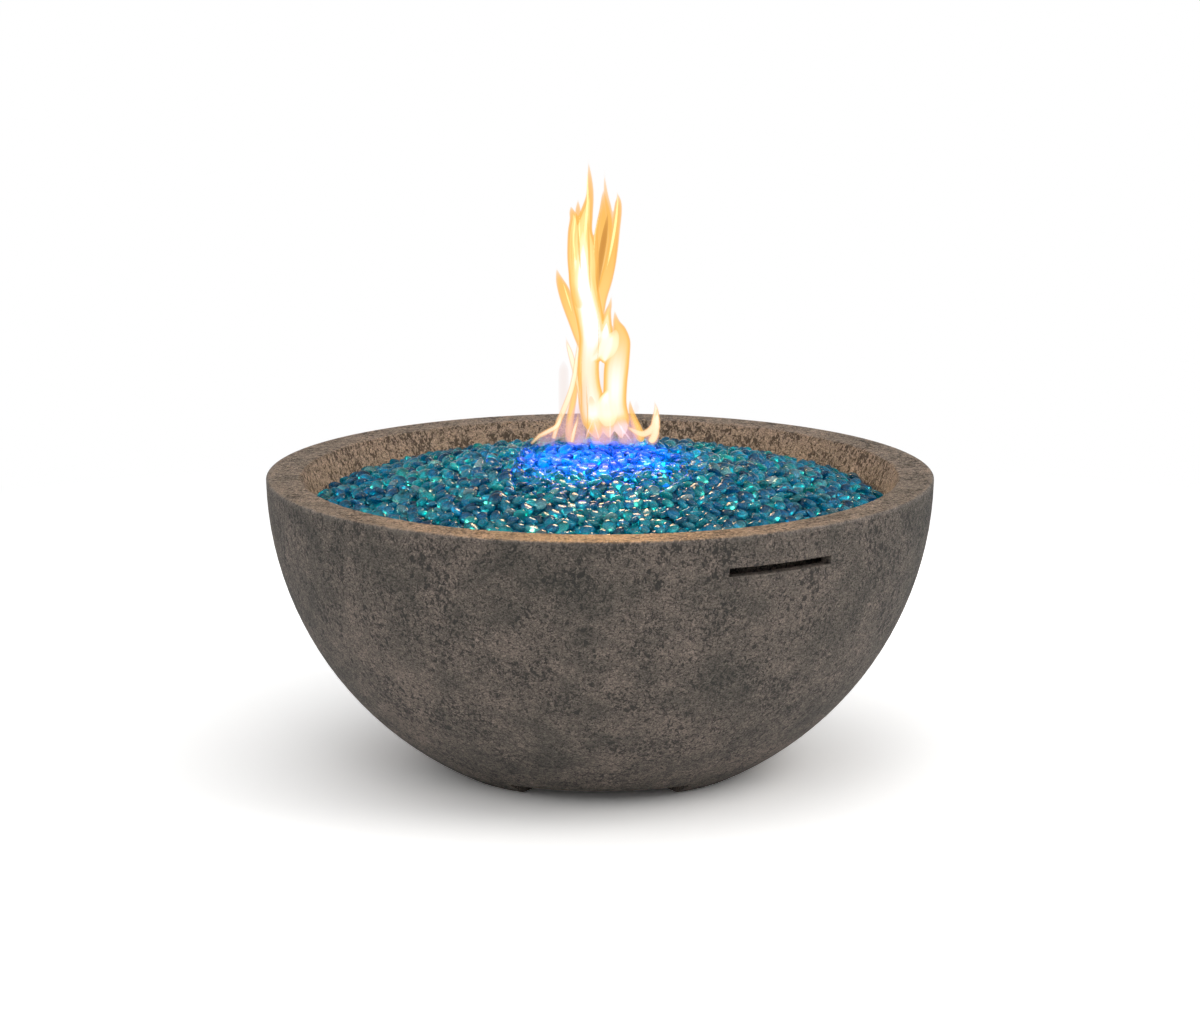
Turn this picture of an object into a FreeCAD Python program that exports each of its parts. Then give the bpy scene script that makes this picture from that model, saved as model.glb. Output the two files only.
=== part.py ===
import FreeCAD, Part
import math
import os
from FreeCAD import Matrix, Vector

# Gas fire pit bowl. Millimetres, +Z up, front towards -Y.
# The origin is on the bowl's axis, on the plane that its three feet stand on.
# An azimuth is counted from the front (-Y) towards the right (+X).

# Bowl casting
rim_diameter = 914.4
bowl_height = 406.4
wall_thickness = 18.0
rim_width = 48.4
rim_thickness = 22.0
rim_outer_round = 3.0
rim_inner_round = 4.0
lip_lean = 19.6
lip_depth = 48.0
lip_thickness = 18.0
ledge_width = 27.0
ledge_thickness = 18.0
floor_thickness = 22.0
floor_hole_radius = 60.0

# Feet, which three notches leave between them
foot_count = 3
foot_height = 18.5
foot_gap_half_angle = 31.0
foot_inner_radius = 120.0
foot_outer_radius = 202.55

# Vent slots
slot_height = 12.0
slot_drop = 42.0
slot_half_angle = 10.0
slot_azimuths = (31.4, 211.4)

# Clearances, and the share of a run that an arc of a hose's route takes at each end
arc_share = 0.45
seat_gap = 0.3
weld_gap = 0.1
thread_gap = 0.05
running_gap = 0.05

# Burner pan
pan_sheet = 1.5
pan_depth = 48.0
pan_flange_gap = 3.0
pan_wall_gap = 6.0
drain_hole_radius = 4.0
drain_hole_count = 12
drain_circle_radius = 310.0

# Fills: lava gravel below, fire glass above
glass_wall_drop = 39.0
glass_crown_rise = 23.6
burner_cover = 38.0
plateau_margin = 22.0
gravel_edge_drop = 6.0

# Lumps of the glass: low round caps on its crown, along a spiral
glass_lump_radius = 21.0
glass_lump_stand = 7.5
glass_lump_bite = 1.5
glass_lump_step = 27.4
glass_lump_turn = 137.508
glass_lump_margin = 24.0
glass_edge_sink = 5.5

# Ring burner
outer_ring_radius = 152.4
inner_ring_radius = 76.2
ring_tube_radius = 9.5
ring_tube_wall = 1.5
spoke_count = 4
spoke_radius = 8.0
spoke_wall = 1.5
hub_radius = 22.0
hub_height = 30.0
hub_roof = 6.0
jet_radius = 1.2
outer_jet_count = 24
inner_jet_count = 12

# Riser pipe through the pan, with its nuts and washers
pipe_radius = 10.65
pipe_bore_radius = 7.9
socket_depth = 16.0
locknut_flats = 32.0
locknut_height = 9.0
washer_radius = 26.0
washer_thickness = 1.6

# Air mixer and its shutter
mixer_drop = 6.0
mixer_radius = 15.0
mixer_length = 68.0
mixer_chamber_radius = 11.0
mixer_collar_radius = 18.0
mixer_collar_height = 8.0
mixer_floor = 10.0
mixer_shoulder = 2.5
window_count = 4
window_width = 10.0
window_height = 18.0
window_rise = 16.0
shutter_wall = 2.5
shutter_height = 32.0
shutter_ring_height = 2.0
shutter_ring_bite = 0.8
shutter_ring_gap_angle = 50.0
shutter_screw_radius = 2.0
shutter_screw_head_radius = 5.0
shutter_screw_head_length = 6.0
shutter_screw_stand = 4.0

# Hose ends: adapter, nut and hose
hose_radius = 7.0
hose_wall = 1.5
adapter_plug_radius = 8.0
adapter_plug_length = 10.0
adapter_flats = 22.0
adapter_flats_height = 8.0
adapter_stub_length = 14.0
adapter_bore_radius = 4.0
hose_nut_flats = 22.0
hose_nut_length = 24.0
hose_nut_overlap = 12.0
jet_nipple_radius = 5.0
jet_nipple_height = 8.0
jet_nipple_shank = 6.0
jet_nipple_bore = 1.0

# Key valve, in the back wall
valve_pan_gap = 18.0
valve_spot_depth = 2.0
valve_spot_radius = 37.0
valve_inner_spot_depth = 1.5
valve_inner_spot_radius = 27.0
valve_wall_hole_radius = 15.0
valve_setback = 62.0
valve_barrel_radius = 17.0
valve_barrel_half_length = 30.0
valve_bore_radius = 12.5
valve_waterway_radius = 7.0
valve_ball_radius = 12.0
ball_seat_inner_reach = 6.0
ball_seat_reach = 14.0
ball_slot_width = 4.0
ball_slot_depth = 4.0
valve_neck_radius = 12.0
valve_neck_length = 30.0
packing_recess_radius = 8.0
packing_recess_depth = 12.0
packing_height = 4.0
packing_nut_flats = 17.0
packing_nut_height = 7.0
end_cap_flats = 34.0
end_cap_flange = 8.0
stem_radius = 5.0
stem_square = 6.35
stem_square_length = 14.0
stem_reach = 38.0
sleeve_radius = 14.5
sleeve_grip = 6.5
sleeve_stand = 3.0
jam_nut_flats = 41.0
jam_nut_height = 8.0
jam_washer_radius = 23.0
jam_washer_thickness = 1.6
escutcheon_radius = 35.0
escutcheon_height = 6.0
escutcheon_edge = 1.5
escutcheon_flat_radius = 20.0
escutcheon_mouth_radius = 9.0
key_radius = 6.5
key_square_gap = 0.15
key_length = 86.0
key_end_gap = 0.3
key_grip_width = 48.0
key_grip_height = 24.0
key_grip_thickness = 5.0
key_grip_round = 9.0

# Gas inlet in the floor hole
strap_width = 44.0
strap_thickness = 3.0
strap_screw_reach = 74.0
strap_end_margin = 12.0
strap_screw_radius = 3.0
strap_screw_length = 14.0
strap_screw_flats = 10.0
strap_screw_head = 4.0
insert_radius = 5.0
insert_length = 15.0
coupling_radius = 14.0
coupling_below = 20.5
coupling_above = 21.5
coupling_flats = 38.0
coupling_flange = 8.0
coupling_nut_height = 8.0
inlet_thread_radius = 10.0
inlet_thread_length = 20.0
elbow_radius = 12.0
elbow_rise = 13.0
elbow_reach = 22.0

# Gas hoses: straight leads at their fittings, and the corner points between
burner_hose_valve_lead = 84.0
burner_hose_mixer_lead = 70.0
supply_hose_valve_lead = 92.0
supply_hose_elbow_lead = 84.0
burner_hose_points = [
    (-202.0, 320.0, 250.0),
    (-226.0, 244.0, 208.0),
    (-212.0, 172.0, 158.0),
    (-168.0, 112.0, 110.0),
    (-112.0, 73.0, 78.0),
    (-48.0, 31.0, 74.0),
]
supply_hose_points = [
    (178.0, 34.0, 80.0),
    (222.0, 92.0, 100.0),
    (240.0, 160.0, 140.0),
    (236.0, 230.0, 186.0),
    (210.0, 300.0, 234.0),
]

# Derived places
UP = Vector(0, 0, 1)
AXIS_FOOT = Vector(0, 0, 0)
rim_radius = rim_diameter / 2
ball_centre_z = (rim_radius ** 2 + bowl_height ** 2 - foot_outer_radius ** 2) / (2 * bowl_height)
ball_radius = math.hypot(foot_outer_radius, ball_centre_z)
inner_ball_radius = ball_radius - wall_thickness
floor_top = foot_height + floor_thickness
lip_slope = math.tan(math.radians(lip_lean))
lip_thickness_across = lip_thickness / math.cos(math.radians(lip_lean))
ledge_z = bowl_height - lip_depth
ledge_bottom = ledge_z - ledge_thickness


def lip_radius(z):
    """Radius of the leaning inner lip at a height."""
    return rim_radius - rim_width - (bowl_height - z) * lip_slope


ledge_outer_radius = lip_radius(ledge_z)
ledge_inner_radius = ledge_outer_radius - ledge_width
pan_flange_radius = ledge_outer_radius - pan_flange_gap
pan_wall_radius = ledge_inner_radius - pan_wall_gap
pan_inner_radius = pan_wall_radius - pan_sheet
pan_bottom = ledge_z - pan_depth
pan_floor = pan_bottom + pan_sheet
flange_top = ledge_z + pan_sheet
glass_edge_z = bowl_height - glass_wall_drop
glass_crown_z = bowl_height + glass_crown_rise
burner_z = glass_crown_z - burner_cover
plateau_radius = outer_ring_radius + plateau_margin
gravel_edge_z = ledge_z - gravel_edge_drop
locknut_top_z = pan_floor + washer_thickness + locknut_height
pan_nut_bottom = pan_bottom - washer_thickness - locknut_height
mixer_top = pan_nut_bottom - mixer_drop
mixer_bottom = mixer_top - mixer_length
pipe_bottom = mixer_top - socket_depth
hub_bottom = burner_z - hub_height / 2
hub_top = burner_z + hub_height / 2
pipe_top = hub_bottom + socket_depth
collar_top = mixer_bottom + mixer_collar_height
window_z = collar_top + window_rise
shutter_inner_radius = mixer_radius + running_gap
shutter_outer_radius = shutter_inner_radius + shutter_wall
shutter_bottom = collar_top + running_gap
shutter_top = shutter_bottom + shutter_height
hose_bore_radius = hose_radius - hose_wall
strap_top = floor_top + strap_thickness
coupling_bottom = floor_top - coupling_below
coupling_top = strap_top + coupling_above
elbow_z = coupling_top + elbow_rise


def ball_reach(radius, z):
    """Radius from the bowl's axis to a ball of the bowl's centre at a height."""
    return math.sqrt(radius ** 2 - (ball_centre_z - z) ** 2)


def edge(start, end):
    """Straight edge between two (radius, height) points of a turned profile."""
    return Part.LineSegment(Vector(start[0], 0, start[1]), Vector(end[0], 0, end[1])).toShape()


def edges_through(points):
    """Straight edges through the (radius, height) points in turn."""
    return [edge(a, b) for a, b in zip(points, points[1:])]


def ball_arc(radius, low_z, high_z):
    """Arc of a turned profile on a ball about the bowl's centre."""
    points = []
    low = math.asin((low_z - ball_centre_z) / radius)
    high = math.asin((high_z - ball_centre_z) / radius)
    for angle in (low, (low + high) / 2, high):
        points.append(Vector(radius * math.cos(angle), 0, ball_centre_z + radius * math.sin(angle)))
    return Part.Arc(*points).toShape()


def sphere_under(radius, rise):
    """Radius of the sphere whose cap has this radius and rise."""
    return (radius ** 2 + rise ** 2) / (2 * rise)


def crown_arc(edge_point, crown_z):
    """Arc of a turned profile from an edge point up to a crown on the axis."""
    radius, edge_z = edge_point
    sphere = sphere_under(radius, crown_z - edge_z)
    half = math.asin(radius / sphere) / 2
    middle = Vector(sphere * math.sin(half), 0, crown_z - sphere * (1 - math.cos(half)))
    return Part.Arc(Vector(radius, 0, edge_z), middle, Vector(0, 0, crown_z)).toShape()


def turned(edges, start=0.0, sweep=360.0):
    """Solid turned about +Z from a closed profile, from one azimuth through a sweep."""
    face = Part.Face(Part.Wire(Part.__sortEdges__(edges)))
    face.rotate(AXIS_FOOT, UP, start - 90.0)
    solid = face.revolve(AXIS_FOOT, UP, sweep)
    if solid.Volume < 0:
        solid.reverse()
    return solid


def turned_loop(points, start=0.0, sweep=360.0):
    """Solid turned about +Z from a closed loop of (radius, height) points."""
    return turned(edges_through(points + points[:1]), start, sweep)


def tube(outer, inner, low, high):
    """Upright tube on the Z axis."""
    return turned_loop([(inner, low), (outer, low), (outer, high), (inner, high)])


def rod(radius, low, high):
    """Upright round bar on the Z axis."""
    return Part.makeCylinder(radius, high - low, Vector(0, 0, low))


def side_rod(radius, low, high, height=0.0):
    """Round bar along +X between two distances from the Z axis."""
    return Part.makeCylinder(radius, high - low, Vector(low, 0, height), Vector(1, 0, 0))


def hexagon(flats, low, high):
    """Upright hexagonal bar on the Z axis."""
    reach = flats / 2 / math.cos(math.radians(30))
    corners = []
    for k in range(7):
        angle = math.radians(60 * k)
        corners.append(Vector(reach * math.cos(angle), reach * math.sin(angle), low))
    face = Part.Face(Part.makePolygon(corners))
    return face.extrude(Vector(0, 0, high - low))


def block(width, depth, low, high):
    """Upright square-edged block centred on the Z axis."""
    return Part.makeBox(width, depth, high - low, Vector(-width / 2, -depth / 2, low))


def about_axis(shape, azimuth):
    """The shape, made pointing along +X, swung about Z to an azimuth."""
    swung = shape.copy()
    swung.rotate(AXIS_FOOT, UP, azimuth - 90.0)
    return swung


def spread(shape, count, offset=0.0):
    """Copies of a shape made along +X, evenly spread about the Z axis."""
    return [about_axis(shape, offset + 360.0 * k / count) for k in range(count)]


def whole(shape):
    """The single clean solid of a boolean result."""
    refined = shape.removeSplitter()
    return refined.Solids[0] if len(refined.Solids) == 1 else refined


# Valve frame: local +Z is the key's axis, out of the bowl, and local X stays the bowl's X
valve_drop = ball_centre_z - pan_bottom + valve_pan_gap + valve_barrel_radius
tilt = math.asin(valve_drop / (ball_radius - valve_spot_depth - valve_setback))
valve_out = Vector(0, math.cos(tilt), -math.sin(tilt))
valve_down = Vector(0, -math.sin(tilt), -math.cos(tilt))
valve_seat = Vector(0, 0, ball_centre_z) + valve_out * (ball_radius - valve_spot_depth)
valve_matrix = Matrix(
    1, valve_down.x, valve_out.x, valve_seat.x,
    0, valve_down.y, valve_out.y, valve_seat.y,
    0, valve_down.z, valve_out.z, valve_seat.z,
    0, 0, 0, 1,
)
wall_inner_seat = valve_spot_depth + valve_inner_spot_depth - wall_thickness
valve_centre = valve_seat - valve_out * valve_setback
neck_top = valve_neck_length - valve_setback
packing_floor = neck_top - packing_recess_depth
packing_nut_low = packing_floor + packing_height
sleeve_low = neck_top - sleeve_grip
stem_shoulder = stem_reach - valve_setback
stem_end = stem_shoulder + stem_square_length
cap_end = valve_barrel_half_length + end_cap_flange


def at_valve(shape):
    """A piece made in the valve frame, put in its place in the bowl's wall."""
    return shape.transformed(valve_matrix)


def bowl_shell():
    """Cast bowl: floor on three feet, thin ball wall, turned-in lip and pan ledge."""
    slab_z = bowl_height - rim_thickness
    lip_back = lip_radius(slab_z) + lip_thickness_across
    ledge_back = lip_radius(ledge_bottom) + lip_thickness_across
    profile = edges_through([
        (foot_outer_radius, 0),
        (foot_inner_radius, 0),
        (foot_inner_radius, foot_height),
        (floor_hole_radius, foot_height),
        (floor_hole_radius, floor_top),
        (ball_reach(inner_ball_radius, floor_top), floor_top),
    ])
    profile.append(ball_arc(inner_ball_radius, floor_top, slab_z))
    profile += edges_through([
        (ball_reach(inner_ball_radius, slab_z), slab_z),
        (lip_back, slab_z),
        (ledge_back, ledge_bottom),
        (ledge_inner_radius, ledge_bottom),
        (ledge_inner_radius, ledge_z),
        (ledge_outer_radius, ledge_z),
        (lip_radius(bowl_height), bowl_height),
        (rim_radius, bowl_height),
    ])
    profile.append(ball_arc(ball_radius, 0, bowl_height))
    shell = turned(profile)
    shell = shell.makeFillet(rim_outer_round, rim_edges(shell, True))
    shell = shell.makeFillet(rim_inner_round, rim_edges(shell, False))
    shell = shell.cut(foot_gaps())
    shell = shell.cut(vent_slots())
    shell = shell.cut(at_valve(valve_wall_cut()))
    return whole(shell.cut(insert_holes()))


def rim_edges(shell, outer):
    """Edges round the flat rim, on its outer or on its inner side."""
    middle = rim_radius - rim_width / 2
    level = [e for e in shell.Edges if abs(e.BoundBox.ZMin - bowl_height) < 0.01]
    return [e for e in level if (e.BoundBox.XMax > middle) == outer]


def foot_gaps():
    """Sectors cut away between the feet."""
    reach = ball_reach(ball_radius, foot_height) + wall_thickness
    low = -foot_height
    loop = [
        (foot_inner_radius - wall_thickness, low),
        (reach, low),
        (reach, foot_height),
        (foot_inner_radius - wall_thickness, foot_height),
    ]
    gaps = []
    for k in range(foot_count):
        start = 360.0 * k / foot_count - foot_gap_half_angle
        gaps.append(turned_loop(loop, start, 2 * foot_gap_half_angle))
    return gaps


def vent_slots():
    """Level slots through the wall, into the hollow behind the lip."""
    top = bowl_height - slot_drop
    low = top - slot_height
    hollow_inner = lip_radius(top) + lip_thickness_across
    hollow_outer = ball_reach(inner_ball_radius, low)
    start_radius = (hollow_inner + hollow_outer) / 2
    end_radius = ball_radius + wall_thickness
    loop = [(start_radius, low), (end_radius, low), (end_radius, top), (start_radius, top)]
    return [turned_loop(loop, azimuth - slot_half_angle, 2 * slot_half_angle) for azimuth in slot_azimuths]


def valve_wall_cut():
    """Hole for the valve sleeve, with a flat round seat on each face of the wall."""
    hole = rod(valve_wall_hole_radius, -valve_setback / 2, valve_setback / 2)
    outer_spot = rod(valve_spot_radius, 0, wall_thickness)
    inner_spot = rod(valve_inner_spot_radius, wall_inner_seat - wall_thickness, wall_inner_seat)
    return hole.fuse(outer_spot).fuse(inner_spot)


def insert_holes():
    """Blind holes in the floor for the threaded inserts of the inlet strap."""
    return at_strap_ends(rod(insert_radius + thread_gap, floor_top - insert_length - seat_gap, floor_top))


def burner_pan():
    """Round drop-in tray: flange on the ledge, upright wall, flat bottom with holes."""
    pan = turned_loop([
        (pipe_radius + thread_gap, pan_bottom),
        (pan_wall_radius, pan_bottom),
        (pan_wall_radius, ledge_z),
        (pan_flange_radius, ledge_z),
        (pan_flange_radius, flange_top),
        (pan_inner_radius, flange_top),
        (pan_inner_radius, pan_floor),
        (pipe_radius + thread_gap, pan_floor),
    ])
    drain = rod(drain_hole_radius, pan_bottom - pan_sheet, pan_floor + pan_sheet)
    drain.translate(Vector(drain_circle_radius, 0, 0))
    return whole(pan.cut(spread(drain, drain_hole_count)))


def ring_burner_envelope():
    """Space that the rings, spokes and hub take in the fills."""
    gap = seat_gap
    shapes = [
        Part.makeTorus(outer_ring_radius, ring_tube_radius + gap, Vector(0, 0, burner_z)),
        Part.makeTorus(inner_ring_radius, ring_tube_radius + gap, Vector(0, 0, burner_z)),
        rod(hub_radius + gap, hub_bottom - gap, hub_top + gap),
    ]
    shapes += spread(side_rod(spoke_radius + gap, 0, outer_ring_radius, burner_z), spoke_count)
    return shapes


def lava_gravel():
    """Bed of lava gravel that fills the pan up to the middle of the burner rings."""
    nut_hole = max(washer_radius, locknut_flats / 2 / math.cos(math.radians(30))) + seat_gap
    nut_roof = locknut_top_z + seat_gap
    pipe_hole = pipe_radius + seat_gap
    bed = turned_loop([
        (nut_hole, pan_floor),
        (pan_inner_radius - seat_gap, pan_floor),
        (pan_inner_radius - seat_gap, gravel_edge_z),
        (plateau_radius, burner_z),
        (pipe_hole, burner_z),
        (pipe_hole, nut_roof),
        (nut_hole, nut_roof),
    ])
    return whole(bed.cut(ring_burner_envelope()))


def glass_lumps(edge_point, crown_z):
    """Low round caps in an even spiral over the crown, for the heaped drops of glass."""
    edge_radius, edge_z = edge_point
    crown_sphere = sphere_under(edge_radius, crown_z - edge_z)
    lump_sphere = sphere_under(glass_lump_radius, glass_lump_stand)
    top = crown_sphere + glass_lump_stand
    lump = Part.makeSphere(lump_sphere, Vector(0, 0, top - lump_sphere))
    lump = lump.common(rod(2 * glass_lump_radius, crown_sphere - glass_lump_bite, top))
    lumps = []
    reach = glass_lump_step * math.sqrt(0.5)
    while reach < edge_radius - glass_lump_margin:
        placed = lump.copy()
        placed.rotate(AXIS_FOOT, Vector(0, 1, 0), math.degrees(math.asin(reach / crown_sphere)))
        placed.rotate(AXIS_FOOT, UP, glass_lump_turn * len(lumps))
        placed.translate(Vector(0, 0, crown_z - crown_sphere))
        lumps.append(placed)
        reach = glass_lump_step * math.sqrt(len(lumps) + 0.5)
    return lumps


def glass_bed():
    """Crowned bed of fire glass over the gravel, the burner and the pan's flange."""
    flange_side = lip_radius(flange_top) - seat_gap
    low_edge_z = glass_edge_z - glass_edge_sink
    low_crown_z = glass_crown_z - glass_lump_stand
    glass_edge = (lip_radius(low_edge_z) - seat_gap, low_edge_z)
    profile = edges_through([
        (0, low_crown_z),
        (0, burner_z + seat_gap),
        (plateau_radius, burner_z + seat_gap),
        (pan_inner_radius - seat_gap, gravel_edge_z + seat_gap),
        (pan_inner_radius - seat_gap, flange_top),
        (flange_side, flange_top),
        glass_edge,
    ])
    profile.append(crown_arc(glass_edge, low_crown_z))
    bed = turned(profile).cut(ring_burner_envelope())
    return whole(bed.fuse(glass_lumps(glass_edge, low_crown_z)))


def burner_ring(radius, jet_count, spoke_bores):
    """Hollow ring tube with a row of gas jets on top and inlets from the spokes."""
    ring = Part.makeTorus(radius, ring_tube_radius, Vector(0, 0, burner_z))
    ring = ring.cut(Part.makeTorus(radius, ring_tube_radius - ring_tube_wall, Vector(0, 0, burner_z)))
    jet = rod(jet_radius, burner_z, burner_z + 2 * ring_tube_radius)
    jet.translate(Vector(radius, 0, 0))
    ring = ring.cut(spread(jet, jet_count, 180.0 / jet_count))
    return whole(ring.cut(spread(spoke_bores, spoke_count)))


def burner_outer_ring():
    bore = side_rod(spoke_radius - spoke_wall, inner_ring_radius, outer_ring_radius, burner_z)
    return burner_ring(outer_ring_radius, outer_jet_count, bore)


def burner_inner_ring():
    bore = side_rod(spoke_radius - spoke_wall, hub_radius, outer_ring_radius, burner_z)
    return burner_ring(inner_ring_radius, inner_jet_count, bore)


def burner_spokes():
    """Short tubes from the hub to the inner ring and on to the outer ring."""
    torus_radius = ring_tube_radius + weld_gap
    outer = Part.makeTorus(outer_ring_radius, torus_radius, Vector(0, 0, burner_z))
    inner = Part.makeTorus(inner_ring_radius, torus_radius, Vector(0, 0, burner_z))
    hub = rod(hub_radius + weld_gap, hub_bottom, hub_top)
    run = side_rod(spoke_radius, 0, outer_ring_radius, burner_z)
    run = run.cut(side_rod(spoke_radius - spoke_wall, 0, outer_ring_radius, burner_z))
    pieces = run.cut([hub, inner, outer]).Solids
    pieces = [p for p in pieces if p.CenterOfMass.x < outer_ring_radius - ring_tube_radius]
    return Part.makeCompound([s for p in pieces for s in spread(p, spoke_count)])


def burner_hub():
    """Hub that takes gas from the riser and hands it to the spokes."""
    hub = rod(hub_radius, hub_bottom, hub_top)
    hub = hub.cut(rod(pipe_radius + thread_gap, hub_bottom, pipe_top))
    hub = hub.cut(rod(pipe_bore_radius, pipe_top, hub_top - hub_roof))
    bore = side_rod(spoke_radius - spoke_wall, 0, hub_radius + spoke_radius, burner_z)
    return whole(hub.cut(spread(bore, spoke_count)))


def riser_pipe():
    """Pipe nipple from the air mixer up through the pan to the hub."""
    return tube(pipe_radius, pipe_bore_radius, pipe_bottom, pipe_top)


def pan_locknuts():
    """Hexagonal lock nuts above and below the pan's bottom."""
    upper = hexagon(locknut_flats, pan_floor + washer_thickness, locknut_top_z)
    lower = hexagon(locknut_flats, pan_nut_bottom, pan_bottom - washer_thickness)
    bore = rod(pipe_radius + thread_gap, pipe_bottom, pipe_top)
    return Part.makeCompound([upper.cut(bore), lower.cut(bore)])


def pan_washers():
    """Wide washers between the lock nuts and the pan's bottom."""
    inner = pipe_radius + thread_gap
    upper = tube(washer_radius, inner, pan_floor, pan_floor + washer_thickness)
    lower = tube(washer_radius, inner, pan_bottom - washer_thickness, pan_bottom)
    return Part.makeCompound([upper, lower])


def window_block():
    """One air window, cut from the axis out along +X."""
    low = window_z - window_height / 2
    reach = shutter_outer_radius + shutter_wall
    return Part.makeBox(reach, window_width, window_height, Vector(0, -window_width / 2, low))


def mixer_body():
    """Brass air mixer: pipe socket, air chamber with windows, collar and jet seat."""
    body = rod(mixer_radius, mixer_bottom, mixer_top)
    body = body.fuse(rod(mixer_collar_radius, mixer_bottom, collar_top))
    body = body.cut(rod(pipe_radius + thread_gap, pipe_bottom, mixer_top))
    body = body.cut(rod(mixer_chamber_radius, mixer_bottom + mixer_floor, pipe_bottom - mixer_shoulder))
    body = body.cut(rod(pipe_bore_radius, mixer_bottom + mixer_floor, pipe_bottom))
    body = body.cut(rod(adapter_plug_radius + thread_gap, mixer_bottom, mixer_bottom + mixer_floor))
    body = body.cut(spread(window_block(), window_count))
    groove_low = shutter_top + running_gap
    groove_inner = mixer_radius - shutter_ring_bite
    groove_high = groove_low + shutter_ring_height + running_gap
    groove = tube(mixer_collar_radius, groove_inner, groove_low, groove_high)
    return whole(body.cut(groove))


def air_shutter():
    """Turning sleeve whose windows open and close those of the mixer."""
    sleeve = tube(shutter_outer_radius, shutter_inner_radius, shutter_bottom, shutter_top)
    sleeve = sleeve.cut(spread(window_block(), window_count))
    screw_hole = side_rod(shutter_screw_radius + thread_gap, 0, shutter_outer_radius + shutter_wall, window_z)
    return whole(sleeve.cut(about_axis(screw_hole, shutter_screw_azimuth())))


def shutter_screw_azimuth():
    """Azimuth of the shutter's screw, halfway between two windows."""
    return 180.0 / window_count


def shutter_screw():
    """Knurled screw that pinches the shutter on the mixer."""
    head_low = shutter_outer_radius + shutter_screw_stand
    screw = side_rod(shutter_screw_radius, mixer_radius + running_gap, head_low, window_z)
    head = side_rod(shutter_screw_head_radius, head_low, head_low + shutter_screw_head_length, window_z)
    return about_axis(whole(screw.fuse(head)), shutter_screw_azimuth())


def shutter_ring():
    """Open snap ring that keeps the shutter on the mixer."""
    low = shutter_top + 2 * running_gap
    inner = mixer_radius - shutter_ring_bite + running_gap
    high = low + shutter_ring_height - running_gap
    outer = shutter_outer_radius
    loop = [(inner, low), (outer, low), (outer, high), (inner, high)]
    half_gap = shutter_ring_gap_angle / 2
    return turned_loop(loop, half_gap, 360.0 - shutter_ring_gap_angle)


def gas_jet():
    """Brass jet that meters the gas into the mixer."""
    seat = mixer_bottom + adapter_plug_length
    jet = rod(jet_nipple_radius, seat, seat + jet_nipple_height)
    jet = jet.fuse(rod(adapter_bore_radius - thread_gap, seat - jet_nipple_shank, seat))
    return whole(jet.cut(rod(jet_nipple_bore, seat - jet_nipple_shank, seat + jet_nipple_height)))


def hose_adapter():
    """Adapter in its own frame: plug below zero, hexagon and hose stub above."""
    stub_end = adapter_flats_height + adapter_stub_length
    body = rod(adapter_plug_radius, -adapter_plug_length, 0)
    body = body.fuse(hexagon(adapter_flats, 0, adapter_flats_height))
    body = body.fuse(rod(hose_radius, adapter_flats_height, stub_end))
    return whole(body.cut(rod(adapter_bore_radius, -adapter_plug_length, stub_end)))


def hose_nut():
    """Nut in the adapter's frame, over the end of the stub and of the hose."""
    stub_end = adapter_flats_height + adapter_stub_length
    low = stub_end - hose_nut_overlap
    nut = hexagon(hose_nut_flats, low, low + hose_nut_length)
    return whole(nut.cut(rod(hose_radius + thread_gap, low, low + hose_nut_length)))


def facing(shape, place, direction):
    """A piece made along +Z, put with its zero at a place and its +Z along a direction."""
    turn = FreeCAD.Rotation(UP, direction)
    return shape.transformed(FreeCAD.Placement(place, turn).toMatrix())


adapter_length = adapter_flats_height + adapter_stub_length
elbow_outlet = Vector(elbow_radius + elbow_reach, 0, elbow_z)
hose_ends = {
    "mixer": (Vector(0, 0, mixer_bottom), Vector(0, 0, -1)),
    "valve_outlet": (valve_centre - Vector(valve_barrel_half_length, 0, 0), Vector(-1, 0, 0)),
    "valve_inlet": (valve_centre + Vector(cap_end, 0, 0), Vector(1, 0, 0)),
    "elbow": (elbow_outlet - Vector(adapter_length, 0, 0), Vector(1, 0, 0)),
}


def route_through(corners):
    """Path of straight runs joined by tangent arcs, as large as the runs allow."""
    edges = []
    radii = []
    last = corners[0]
    for before, corner, after in zip(corners, corners[1:], corners[2:]):
        into = corner - before
        out = after - corner
        half_turn = into.getAngle(out) / 2
        trim = arc_share * min(into.Length, out.Length)
        radius = trim / math.tan(half_turn)
        into.normalize()
        out.normalize()
        inward = out - into
        inward.normalize()
        middle = corner + inward * (radius / math.cos(half_turn) - radius)
        edges.append(Part.LineSegment(last, corner - into * trim).toShape())
        edges.append(Part.Arc(corner - into * trim, middle, corner + out * trim).toShape())
        radii.append(round(radius, 1))
        last = corner + out * trim
    edges.append(Part.LineSegment(last, corners[-1]).toShape())
    print("hose arc radii", radii)
    return Part.Wire(edges)


def hose_between(start_name, start_lead, points, end_lead, end_name):
    """Hollow hose from one fitting's stub to another's, through the points between."""
    start_place, start_way = hose_ends[start_name]
    end_place, end_way = hose_ends[end_name]
    start = start_place + start_way * adapter_length
    end = end_place + end_way * adapter_length
    corners = [start, start + start_way * start_lead]
    corners += [Vector(*point) for point in points]
    corners += [end + end_way * end_lead, end]
    path = route_through(corners)
    outer, bore = [
        path.makePipeShell([Part.Wire(Part.makeCircle(radius, start, start_way))], True, False)
        for radius in (hose_radius, hose_bore_radius)
    ]
    hollow = outer.cut(bore)
    section = math.pi * (hose_radius ** 2 - hose_bore_radius ** 2)
    share = hollow.Volume / section / path.Length
    print("hose length", round(path.Length, 1), "volume share", round(share, 4))
    return hollow


def burner_hose():
    return hose_between(
        "valve_outlet", burner_hose_valve_lead, burner_hose_points, burner_hose_mixer_lead, "mixer"
    )


def supply_hose():
    return hose_between(
        "elbow", supply_hose_elbow_lead, supply_hose_points, supply_hose_valve_lead, "valve_inlet"
    )


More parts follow.
